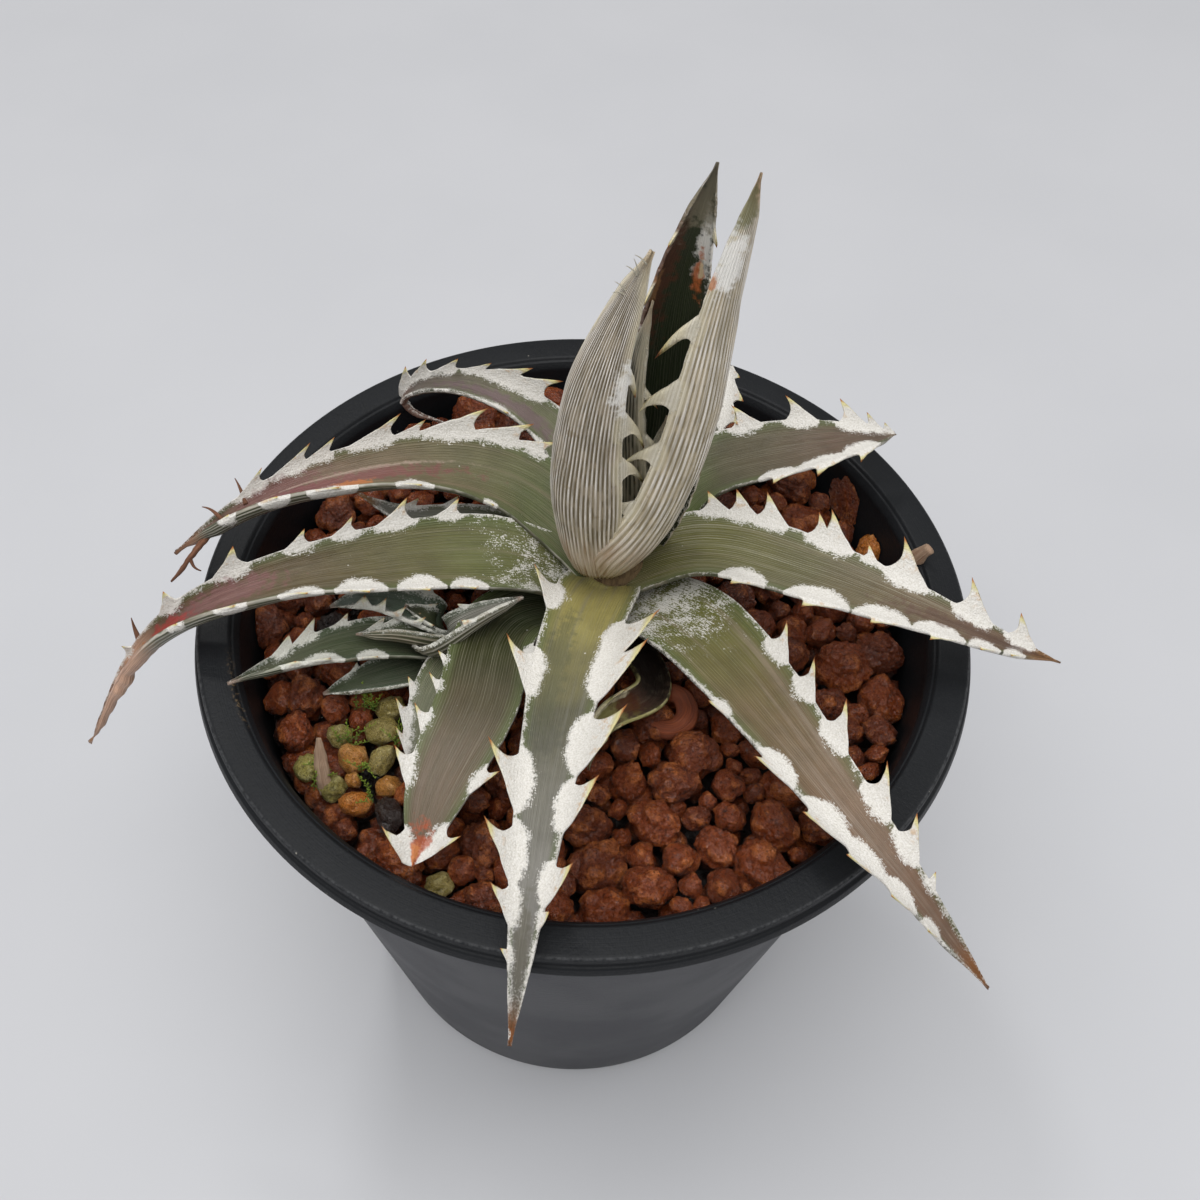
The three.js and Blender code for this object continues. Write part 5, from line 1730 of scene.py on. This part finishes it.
@dataclass(frozen=True)
class Soil:
    """Baked-clay grains on a bed inside the pot, painted near black as shade."""

    top: float = 79.8
    spread: float = 44.8  # radius of the disc that the grains' centres fill
    large: int = 84
    small: int = 230
    deep: int = 330
    large_radii: Pair = (2.9, 4.3)
    small_radii: Pair = (1.3, 2.8)
    deep_radii: Pair = (1.6, 2.7)
    fine_from: float = 2.85  # radius above which a grain has a finer mesh
    rounds: int = 140  # in which grains push each other apart
    shove: float = 0.35  # share of an overlap that one round takes away
    bed_drop: float = 5.0  # how far the bed under the grains lies under the solid's
    heap: float = 3.8  # rise of the soil towards the back of the pot
    lumps: int = 24
    planes: int = 5
    placed: tuple[tuple[float, float, float, Clay], ...] = (
        (-26.2, -18.0, 2.7, OCHRE), (-25.6, -22.4, 2.3, OCHRE), (-31.7, -19.1, 1.9, OCHRE),
        (-25.5, -14.4, 2.2, OCHRE), (-29.5, -22.6, 2.4, ORANGE), (-24.3, -26.5, 2.0, ORANGE),
        (-28.1, -29.2, 2.4, ORANGE), (-29.0, -25.8, 1.3, ORANGE), (-35.2, -24.2, 2.2, MOSSY),
        (-31.4, -27.0, 2.0, MOSSY), (-23.6, -30.6, 2.6, DARK), (-34.9, -2.0, 3.2, DARK),
        (-37.1, -13.3, 3.0, RED), (-37.6, -18.9, 3.1, RED), (-33.0, -14.6, 2.2, RED),
        (-44.8, -1.8, 3.4, RED), (15.4, -19.3, 3.9, RED), (12.9, -23.6, 3.6, RED),
        (10.4, -29.5, 3.6, RED), (36.4, -3.2, 4.2, RED), (9.9, -38.6, 3.6, RED),
        (40.7, 27.9, 4.4, RED), (42.2, 18.1, 3.0, ORANGE), (1.5, -30.5, 3.9, RED),
        (-16.1, -40.0, 2.0, OCHRE),
    )

    def packed(self, radius: Array, drawn: np.random.Generator, fixed: Array) -> Array:
        """Places of discs on the soil: random ones, pushed apart in small steps.

        Args:
            radius: of each disc.
            drawn: source of random numbers.
            fixed: places of the first discs, which stay.

        Returns:
            Two coordinates of each disc.
        """
        turn = drawn.uniform(0, tau, len(radius))
        reach = self.spread * np.sqrt(drawn.uniform(0, 1, len(radius)))
        at = np.stack([reach * np.cos(turn), reach * np.sin(turn)], axis=-1)
        wish = 0.98 * (radius[:, None] + radius[None])
        wish[:, :len(fixed)] *= 1.08
        for _ in range(self.rounds):
            apart = at[:, None] - at[None]
            length = np.linalg.norm(apart, axis=-1) + 1e-6
            push = np.clip(wish - length, 0, None)
            np.fill_diagonal(push, 0)
            at = at + self.shove * (apart / length[..., None] * push[..., None]).sum(axis=1)
            reach = np.linalg.norm(at, axis=1)
            at *= np.minimum(1, (self.spread - 0.7 * radius) / np.maximum(reach, 1e-6))[:, None]
            at[:len(fixed)] = fixed
        return at

    def grains(self, radius: Array, height: float, seed: int, fixed: Array = np.zeros((0, 2))) -> dict[str, Array]:
        """Centres, sizes, scales and turns of a layer of grains.

        Args:
            radius: of each grain.
            height: of their centres, on average.
            seed: for the layer.
            fixed: places of the first grains.

        Returns:
            Arrays by name.
        """
        drawn = np.random.default_rng(seed)
        at = self.packed(radius, drawn, fixed)
        count = len(radius)
        tall = height + drawn.uniform(-0.7, 0.7, count) + 0.12 * radius + self.rise(at[:, 1])
        return {
            "centre": np.column_stack([at, tall]),
            "size": radius,
            "scale": drawn.uniform([0.95, 0.82, 0.74], [1.08, 1.0, 0.92], (count, 3)),
            "tip": drawn.uniform(0, 3, count),
            "turn": drawn.uniform(0, 6, count),
            "tint": drawn.uniform(0, 1, count),
        }

    def grain_surface(self, grains: dict[str, Array], levels: int, seed: int) -> Surface:
        """Lumpy grains: in each direction the farthest point of a few balls, cut by some planes.

        A ball of radius r, with its centre at a distance c from the grain's, reaches
        c cos a + sqrt(r^2 - c^2 sin^2 a) in a direction at the angle a from its centre.
        A plane at a distance h reaches h / cos a.

        Args:
            grains: centres, sizes, scales and turns.
            levels: how finely each sphere is split.
            seed: for the lumps.

        Returns:
            All the grains as one surface.
        """
        directions, faces = sphere_mesh(levels)
        count = len(grains["size"])
        drawn = np.random.default_rng(seed)
        towards = unit(drawn.normal(size=(count, self.lumps, 3)))
        far = drawn.uniform(0.46, 0.66, size=(count, 1, self.lumps))
        thick = drawn.uniform(0.28, 0.46, size=(count, 1, self.lumps))
        near = np.einsum("vd,gld->gvl", directions, towards)
        inside = thick ** 2 - far ** 2 * (1 - near ** 2)
        reach = np.where(inside > 0, far * near + np.sqrt(np.clip(inside, 0, None)), 0).max(axis=2)
        walls = unit(drawn.normal(size=(count, self.planes, 3)))
        level = drawn.uniform(0.76, 1.0, size=(count, 1, self.planes))
        limit = (level / np.maximum(np.einsum("vd,gld->gvl", directions, walls), 0.05)).min(axis=2)
        rough = lattice_noise(directions[None] * 2.6 + towards[:, :1] * 50, seed) * 0.05
        rough = rough + lattice_noise(directions[None] * 7.5 + towards[:, :1] * 80, seed + 1) * 0.09
        reach = np.minimum(np.maximum(reach, 0.8), limit) + rough
        lump = np.clip((reach - 0.72) / 0.26, 0, 1)
        radius = grains["size"][:, None] * reach * 1.03
        local = directions[None] * radius[..., None] * grains["scale"][:, None]
        tip, turn = grains["tip"][:, None], grains["turn"][:, None]
        x, y, z = local[..., 0], local[..., 1], local[..., 2]
        y, z = y * np.cos(tip) - z * np.sin(tip), y * np.sin(tip) + z * np.cos(tip)
        x, y = x * np.cos(turn) - y * np.sin(turn), x * np.sin(turn) + y * np.cos(turn)
        points = np.stack([x, y, z], axis=-1) + grains["centre"][:, None]
        reach = np.hypot(points[..., 0], points[..., 1])
        kept = np.minimum(1, (self.inner_radius(points[..., 2]) - 0.2) / np.maximum(reach, 1))
        points[..., :2] *= kept[..., None]
        start = np.arange(count)[:, None, None] * len(directions)
        # lift: 0 for points low in the pot, where the finish lays painted shade
        lift = np.clip((points[..., 2] - (self.top - 3)) / 5.5, 0, 1)
        marks = {
            "lift": lift.reshape(-1),
            "tint": np.broadcast_to(grains["tint"][:, None], lift.shape).reshape(-1),
            "lump": lump.reshape(-1),
        }
        return Surface(points.reshape(-1, 3), (faces[None] + start).reshape(-1, 3), marks)

    def rise(self, back: Array) -> Array:
        """How far the soil is heaped up at a distance behind the pot's middle."""
        return self.heap * smooth(14, 40, back)

    def inner_radius(self, height: Array) -> Array:
        """Inside radius of the pot's wall at a height."""
        pot = Pot()
        share = (height - pot.wall) / (pot.height - 2.6 - pot.wall)
        foot, top = pot.base_radius - pot.wall, pot.ledge_radius - 0.1
        return foot + (top - foot) * share

    def bed(self) -> Surface:
        """A rough disc that closes the pot under the grains, down to its floor, painted near black as shade.

        Returns:
            The closed surface.
        """
        level = self.top - self.bed_drop
        foot = Pot().wall + 0.35
        rim, low = self.inner_radius(np.array([level, foot])) - 0.35
        radius = np.concatenate([np.linspace(0, rim, 46), [low, low * 0.5, 0]])
        height = np.concatenate([np.full(46, level), [foot] * 3])
        points, table = turned_grid(np.stack([radius, height], axis=-1), 160)
        top = points[:, 2] > level - 1
        grit = lattice_noise(points / 1.3, 31) * 0.35 + lattice_noise(points / 0.6, 32) * 0.2
        points[:, 2] += (grit + self.rise(points[:, 1])) * top
        # Zero lift and lump give the bed the painted shade colour of the clay finish.
        marks = {name: np.zeros(len(points)) for name in ("lift", "tint", "lump")}
        return Surface(points, grid_faces(table), marks)

    def build(self, blades: list[Piece]) -> None:
        """Makes the bed and one piece for each kind of grain.

        Args:
            blades: the blades' pieces, which the grains make room for.
        """
        finishes = {kind: finish.material(f"clay_{kind.name.lower()}") for kind, finish in GRAIN_FINISH.items()}
        self.bed().piece("soil_bed", finishes[RED], "soil", ("soil",))
        drawn = np.random.default_rng(5)
        given = np.array([spot[:3] for spot in self.placed])
        loose = [drawn.uniform(*self.large_radii, self.large), drawn.uniform(*self.small_radii, self.small)]
        radius = np.concatenate([given[:, 2], *loose])
        grains = self.grains(radius, self.top + 0.3, 21, given[:, :2])
        at = grains["centre"][:, :2]
        apart = np.linalg.norm(at[:, None] - given[None, :, :2], axis=-1)
        over = np.clip(0.95 * (radius[:, None] + given[None, :, 2]) - apart, 0, None)
        over[:len(given)] = 0
        grains["centre"][:, 2] -= 1.3 * over.max(axis=1)
        grains["centre"][:len(given), 2] = self.top + 0.9 + self.rise(given[:, 1])
        grains = self.settled(grains, blades)
        kind = np.array([clay.value for *_, clay in self.placed] + [RED.value] * (self.large + self.small))
        for clay, material in finishes.items():
            for size, levels in (("large", 3), ("small", 2)):
                chosen = (kind == clay.value) & ((radius > self.fine_from) == (size == "large"))
                if not chosen.any():
                    continue
                some = {key: values[chosen] for key, values in grains.items()}
                name = f"grains_{clay.name.lower()}_{size}"
                self.grain_surface(some, levels, 11 + levels).piece(name, material, "soil")
        # The low layer sits under most of lift's range, so it takes mostly painted shade.
        low = self.grains(drawn.uniform(*self.deep_radii, self.deep), self.top - 2.6, 22)
        self.grain_surface(low, 1, 17).piece("grains_deep", finishes[RED], "soil")

    def settled(self, grains: dict[str, Array], blades: list[Piece]) -> dict[str, Array]:
        """The grains with those under a blade let down until they clear it.

        Args:
            grains: centres, sizes, scales and turns.
            blades: the blades' pieces.

        Returns:
            The grains with new centres.
        """
        found = []
        for blade in blades:
            places = np.empty(len(blade.data.vertices) * 3, np.float32)
            blade.data.vertices.foreach_get("co", places)
            found.append(places.reshape(-1, 3)[::7] / MM)
        low = np.concatenate(found)
        low = low[low[:, 2] < self.top + 8]
        centre = grains["centre"].copy()
        apart = np.hypot(centre[:, None, 0] - low[None, :, 0], centre[:, None, 1] - low[None, :, 1])
        cap = np.sqrt(np.clip(grains["size"][:, None] ** 2 - apart ** 2, 0, None)) * 0.9
        room = np.where(apart < grains["size"][:, None], low[None, :, 2] - cap - 0.2, np.inf).min(axis=1)
        centre[:, 2] = np.clip(np.minimum(centre[:, 2], room), self.top - 5, None)
        return {**grains, "centre": centre}


# ---- stems, bark, strands and moss


@dataclass(frozen=True)
class Rod:
    """A tapered bar along a path: a stem, a sliver of bark or a dry strand."""

    path: tuple[Point, ...]
    radii: tuple[float, ...]  # at even steps along the path
    flat: float = 1.0  # its depth over its width
    facing: Point = (0, 0, 1)  # where its flat side looks
    rough: float = 0.1  # unevenness as a share of its radius
    grain: float = 2.0  # size of the unevenness in millimetres
    step: float = 0.5
    sides: int = 20

    def surface(self) -> Surface:
        """The bar: origin + radius (side cos a + flat face sin a), with a pole at each end.

        Returns:
            The surface, with a map of distance along and share round.
        """
        _, _, length = along_path(self.path, np.array([0.0, 1.0]))
        at = np.linspace(0, 1, max(6, int(length / self.step)))
        origin, along, _ = along_path(self.path, at)
        facing = np.array(self.facing, float)
        face = unit(facing - along * (along @ facing)[:, None])
        side = np.cross(face, along)
        angle = np.arange(self.sides) * tau / self.sides
        ring = side[:, None] * np.cos(angle)[None, :, None] + face[:, None] * (self.flat * np.sin(angle))[None, :, None]
        radius = even_steps(at, self.radii)[:, None, None]
        points = origin[:, None] + ring * radius
        points = points + ring * radius * self.rough * lattice_noise(points / self.grain, 41)[..., None]
        count = len(at) * self.sides
        table = np.arange(count).reshape(len(at), self.sides)
        table = np.concatenate([np.full((1, self.sides), count), table, np.full((1, self.sides), count + 1)])
        table = np.concatenate([table, table[:, :1]], axis=1)
        run = np.broadcast_to((at * length * MM)[:, None], (len(at), self.sides))
        round_it = np.broadcast_to(np.abs(1 - 2 * angle / tau)[None], run.shape)
        flat = np.vstack([np.stack([run, round_it], axis=-1).reshape(-1, 2), [[0, 0.5], [length * MM, 0.5]]])
        places = np.vstack([points.reshape(-1, 3), origin[:1], origin[-1:]])
        return Surface(places, grid_faces(table)[:, ::-1], {}, flat)


@dataclass(frozen=True)
class Trimmings:
    """The woody stems, slivers of bark, dry strands and a ring-shaped husk."""

    stem: Rod = Rod(((4, 6.5, 68), (4, 6.5, 79), (4, 6.5, 91)), (4.3, 4.4, 3.9, 3.5), rough=0.07, grain=1.1, sides=48)
    offset_stem: Rod = Rod(((-19.5, -5.5, 74), (-19.5, -5.5, 80), (-19.5, -5.5, 86)), (2.1, 1.8, 1.3), rough=0.08,
                           grain=0.8, sides=32)
    chip: Rod = Rod(((42.4, 11.4, 80.4), (44.8, 10.7, 86), (47.4, 9.9, 91.6)), (0.75, 1.2, 1.2, 1.1, 0.8), flat=0.5,
                    facing=(-0.6, -0.8, 0.2), rough=0.2, grain=1.2)
    splinter: Rod = Rod(((-32.2, -27.8, 80.3), (-32.6, -26, 84.4), (-32.8, -24.1, 88)), (0.7, 1.0, 0.95, 0.75, 0.3),
                        flat=0.42, facing=(0.1, -0.7, 0.7), rough=0.16, grain=0.9, step=0.25)
    husk: Rod = Rod(
        ((9, -12.4, 82.4), (9.6, -15.6, 81.8), (12.6, -16.6, 81.8), (14.9, -14.2, 82.6), (13.4, -11, 83.4),
         (10.2, -10.8, 83.2), (9, -12.4, 82.4), (9.3, -14.2, 82)),
        (1.4, 1.6, 1.5, 1.6, 1.4, 1.5, 1.3), flat=0.7, rough=0.16, grain=1.4, sides=24)
    strands: tuple[Rod, ...] = (
        Rod(((-50.5, 3.2, 95.5), (-52.3, 1.2, 94), (-53.6, -0.4, 93), (-54.4, -1.5, 92), (-55.8, -2.8, 91)),
            (0.5, 0.5, 0.42, 0.3, 0.3, 0.12), rough=0.3, grain=0.6, step=0.2, sides=10),
        Rod(((-53.4, -0.2, 93), (-52.9, -1.2, 92.2), (-51.9, -1.3, 91.8)), (0.28, 0.2, 0.08), step=0.2, sides=8),
        Rod(((-46.2, 5.6, 98), (-47.4, 8, 98.8), (-48.4, 9.6, 98.6)), (0.34, 0.22, 0.06), step=0.2, sides=8),
        Rod(((-48.6, 3.2, 96.6), (-50.8, 4.9, 97.6), (-52.2, 5.4, 97.2)), (0.38, 0.24, 0.06), step=0.2, sides=8),
        Rod(((-58.8, -10.6, 87), (-59.8, -9, 88.6), (-60, -8.4, 90)), (0.5, 0.3, 0.06), step=0.2, sides=8),
    )
    hairs: tuple[tuple[Point, Point], ...] = (
        ((4.9, 3.3, 143.6), (3.6, 3, 145)), ((4, 3, 142.3), (2.7, 3, 143.5)), ((4.1, 3, 142.6), (3.5, 2.9, 144.6)),
        ((3, 2.6, 140.2), (1.6, 2.5, 141.7)), ((2.9, 2.5, 139.9), (1.4, 2.3, 140.3)),
    )

    def build(self) -> None:
        """Makes each of them in a fibrous finish."""
        bark = WoodFinish().material("bark_wood")
        stalk = WoodFinish("8a7350", "3f2c1a").material("stem_wood")
        dry = WoodFinish("a9775a", "53301f").material("strand_fibre")
        shell = WoodFinish("a8552a", "57230f", 0.55).material("husk_shell")
        for node, rod, finish, slot in (
            ("stem", self.stem, stalk, "stem"),
            ("offset_stem", self.offset_stem, stalk, "stem"),
            ("bark_chip", self.chip, bark, "bark"),
            ("bark_splinter", self.splinter, bark, "bark"),
        ):
            rod.surface().piece(f"{node}_wood", finish, slot, (node,))
        self.husk.surface().piece("ring_husk", shell, "bark")
        first, *others = (strand.surface() for strand in self.strands)
        first.joined(others).piece("dry_strands", dry, "dry_leaf")
        pale = WoodFinish("f6f1e2", "dcd3b8", 0.7).material("hair_fibre")
        first, *others = (Rod((root, tuple((np.array(root) + tip) / 2 + (0, 0, 0.3)), tip), (0.11, 0.08, 0.03),
                              step=0.15, sides=6).surface() for root, tip in self.hairs)
        first.joined(others).piece("tip_hairs", pale, "column_leaf")


@dataclass(frozen=True)
class Moss:
    """Short moss sprigs between the grains: leaflets in a spiral round bent stalks.

    spots holds the middle, the height and the reach of each tuft, and its number of sprigs.
    """

    spots: tuple[tuple[float, float, float, float, int], ...] = (
        (-28.6, -14.4, 82.0, 1.6, 7), (-30.9, -20.4, 81.4, 1.5, 5), (-28.2, -24.0, 81.6, 1.4, 3),
        (-26.2, -28.2, 81.6, 1.2, 3), (-33.4, -25.8, 81.8, 2.2, 5), (-24.2, -20.4, 82.2, 1.2, 3),
    )
    leaflets: int = 17
    finish: MossFinish = MossFinish()

    def surface(self) -> Surface:
        """Stalks that bend with the square of the way up, and leaflets that are double pyramids.

        Returns:
            All the sprigs as one surface.
        """
        drawn = np.random.default_rng(9)
        middle = np.concatenate([np.tile(spot[:4], (spot[4], 1)) for spot in self.spots])
        count = len(middle)
        turn, away = drawn.uniform(0, tau, count), np.sqrt(drawn.uniform(0, 1, count)) * middle[:, 3]
        foot = middle[:, :3] + np.stack([away * np.cos(turn), away * np.sin(turn), np.full(count, -0.6)], axis=-1)
        tall = drawn.uniform(1.8, 3.6, count)[:, None, None]
        bend = drawn.normal(size=(count, 1, 3)) * [0.5, 0.5, 0.12]
        up = np.arange(1, self.leaflets + 1)[None, :, None] / self.leaflets
        stalk = foot[:, None] + tall * (up * [0, 0, 1] + up ** 2 * bend)
        angle = np.arange(self.leaflets)[None] * 2.4 + turn[:, None]
        out = np.stack([np.cos(angle), np.sin(angle), np.full_like(angle, 0.75)], axis=-1)
        out = unit(out * (1 - 0.7 * up ** 3 * [1, 1, 0]))
        side = unit(np.cross(out, [0.02, 0.01, 1]))
        lift = np.cross(out, side)
        long, broad, thin = 0.34 - 0.12 * up, 0.13 - 0.04 * up, 0.06
        centre = stalk + out * long
        corners = [out * long, -out * long, side * broad, -side * broad, lift * thin, -lift * thin]
        points = np.stack([centre + corner for corner in corners], axis=2)
        stems = stalk[:, 1:] - stalk[:, :-1]
        rise = unit(stems)
        aside = unit(np.cross(rise, [0.3, 1, 0.1]))
        over = np.cross(rise, aside)
        at = (stalk[:, 1:] + stalk[:, :-1]) / 2
        bars = [stems * 0.8, -stems * 0.8, aside * 0.07, -aside * 0.07, over * 0.07, -over * 0.07]
        bars = np.stack([at + bar for bar in bars], axis=2)
        every = np.concatenate([points.reshape(-1, 6, 3), bars.reshape(-1, 6, 3)])
        faces = np.array([[0, 2, 4], [2, 1, 4], [1, 3, 4], [3, 0, 4], [2, 0, 5], [1, 2, 5], [3, 1, 5], [0, 3, 5]])
        faces = (faces[None] + 6 * np.arange(len(every))[:, None, None]).reshape(-1, 3)
        share = np.concatenate([np.broadcast_to(up[..., 0], angle.shape).ravel(),
                                np.broadcast_to(up[:, 1:, 0] * 0.5, at.shape[:2]).ravel()])
        return Surface(every.reshape(-1, 3), faces, {"along": np.repeat(share, 6)})

    def build(self) -> None:
        """Makes all the sprigs as one piece."""
        self.surface().piece("moss_sprigs", self.finish.material("moss"), "offset_leaf")


# ---- stage


@dataclass(frozen=True)
class Studio:
    """Pale floor, soft light and the camera."""

    camera_at: Point = (1.880, -116.912, 240.522)
    right: Point = (0.99852, 0.04315, 0.03318)
    up: Point = (-0.05443, 0.79154, 0.60869)
    ahead: Point = (0.0, 0.60959, -0.79272)
    lens: float = 42.0
    floor: str = "cbccd0"
    air: str = "fffefc"
    air_strength: float = 0.33
    floor_reach: float = 3.0  # metres from the middle to each side
    lights: tuple[tuple[str, Point, float, float], ...] = (  # name, place, side and power in watts
        ("top_light", (-120, -270, 1250), 1250, 13.8),
        ("side_light", (700, 200, 600), 400, 0.9),
        ("small_light", (-250, 450, 900), 110, 1.1),
    )

    def build(self) -> None:
        """Sets floor, lights, world and camera."""
        self.set_floor()
        for light in self.lights:
            self.set_light(*light)
        self.set_world()
        self.set_camera()
        bpy.context.scene.view_settings.view_transform = "Standard"

    def set_floor(self) -> None:
        """A wide plain table top."""
        half = self.floor_reach
        mesh = bpy.data.meshes.new("table_top")
        mesh.from_pydata([(-half, -half, 0), (half, -half, 0), (half, half, 0), (-half, half, 0)], [], [(0, 1, 2, 3)])
        t = Finish("table_finish", 0.45)
        tone = t.step(t.noise(t.coordinates("Object"), 14, 3), 0.3, 0.7, 0.0, 0.12)
        t.put("Base Color", t.mix(tone, self.floor, "aeb1b6"))
        mesh.materials.append(t.material)
        placed("table_top", mesh)

    def set_light(self, name: str, place: Point, size: float, power: float) -> None:
        """A soft square light that looks at the plant.

        Args:
            name: the light's name.
            place: its middle.
            size: its side.
            power: in watts.
        """
        lamp = bpy.data.lights.new(name, "AREA")
        lamp.shape = "SQUARE"
        lamp.size = size * MM
        lamp.energy = power
        made = placed(name, lamp)
        back = unit(np.array(place, float) - np.array([0, 0, 80.0]))
        side = unit(np.cross([0, 1, 0.01], back))
        axes = np.stack([side, np.cross(back, side), back], axis=1)
        made.matrix_world = Matrix.Translation([x * MM for x in place]) @ Matrix(axes.tolist()).to_4x4()

    def set_world(self) -> None:
        """Even light from all round."""
        world = bpy.data.worlds.new("studio_air")
        world.use_nodes = True
        air = world.node_tree.nodes["Background"]
        air.inputs["Color"].default_value = paint(self.air)
        air.inputs["Strength"].default_value = self.air_strength
        bpy.context.scene.world = world

    def set_camera(self) -> None:
        """The camera looks down at the plant from the front."""
        lens = bpy.data.cameras.new("camera")
        lens.sensor_width = 36.0
        lens.lens = self.lens
        lens.clip_start, lens.clip_end = 0.01, 20.0
        camera = placed("camera", lens)
        axes = np.stack([self.right, self.up, -np.array(self.ahead)], axis=1)
        place = Matrix.Translation([x * MM for x in self.camera_at])
        camera.matrix_world = place @ Matrix(axes.tolist()).to_4x4()
        bpy.context.scene.camera = camera


def main() -> None:
    """Builds every piece in order and reports it."""
    logging.basicConfig(level=logging.INFO, format="%(name)s %(message)s")
    Effects().build()
    blades = [piece for whorl in (COLUMN, ROSETTE, OFFSET) for piece in whorl.build()]
    Pot().build()
    Soil().build(blades)
    Trimmings().build()
    Moss().build()
    Studio().build()


if __name__ == "__main__":
    main()
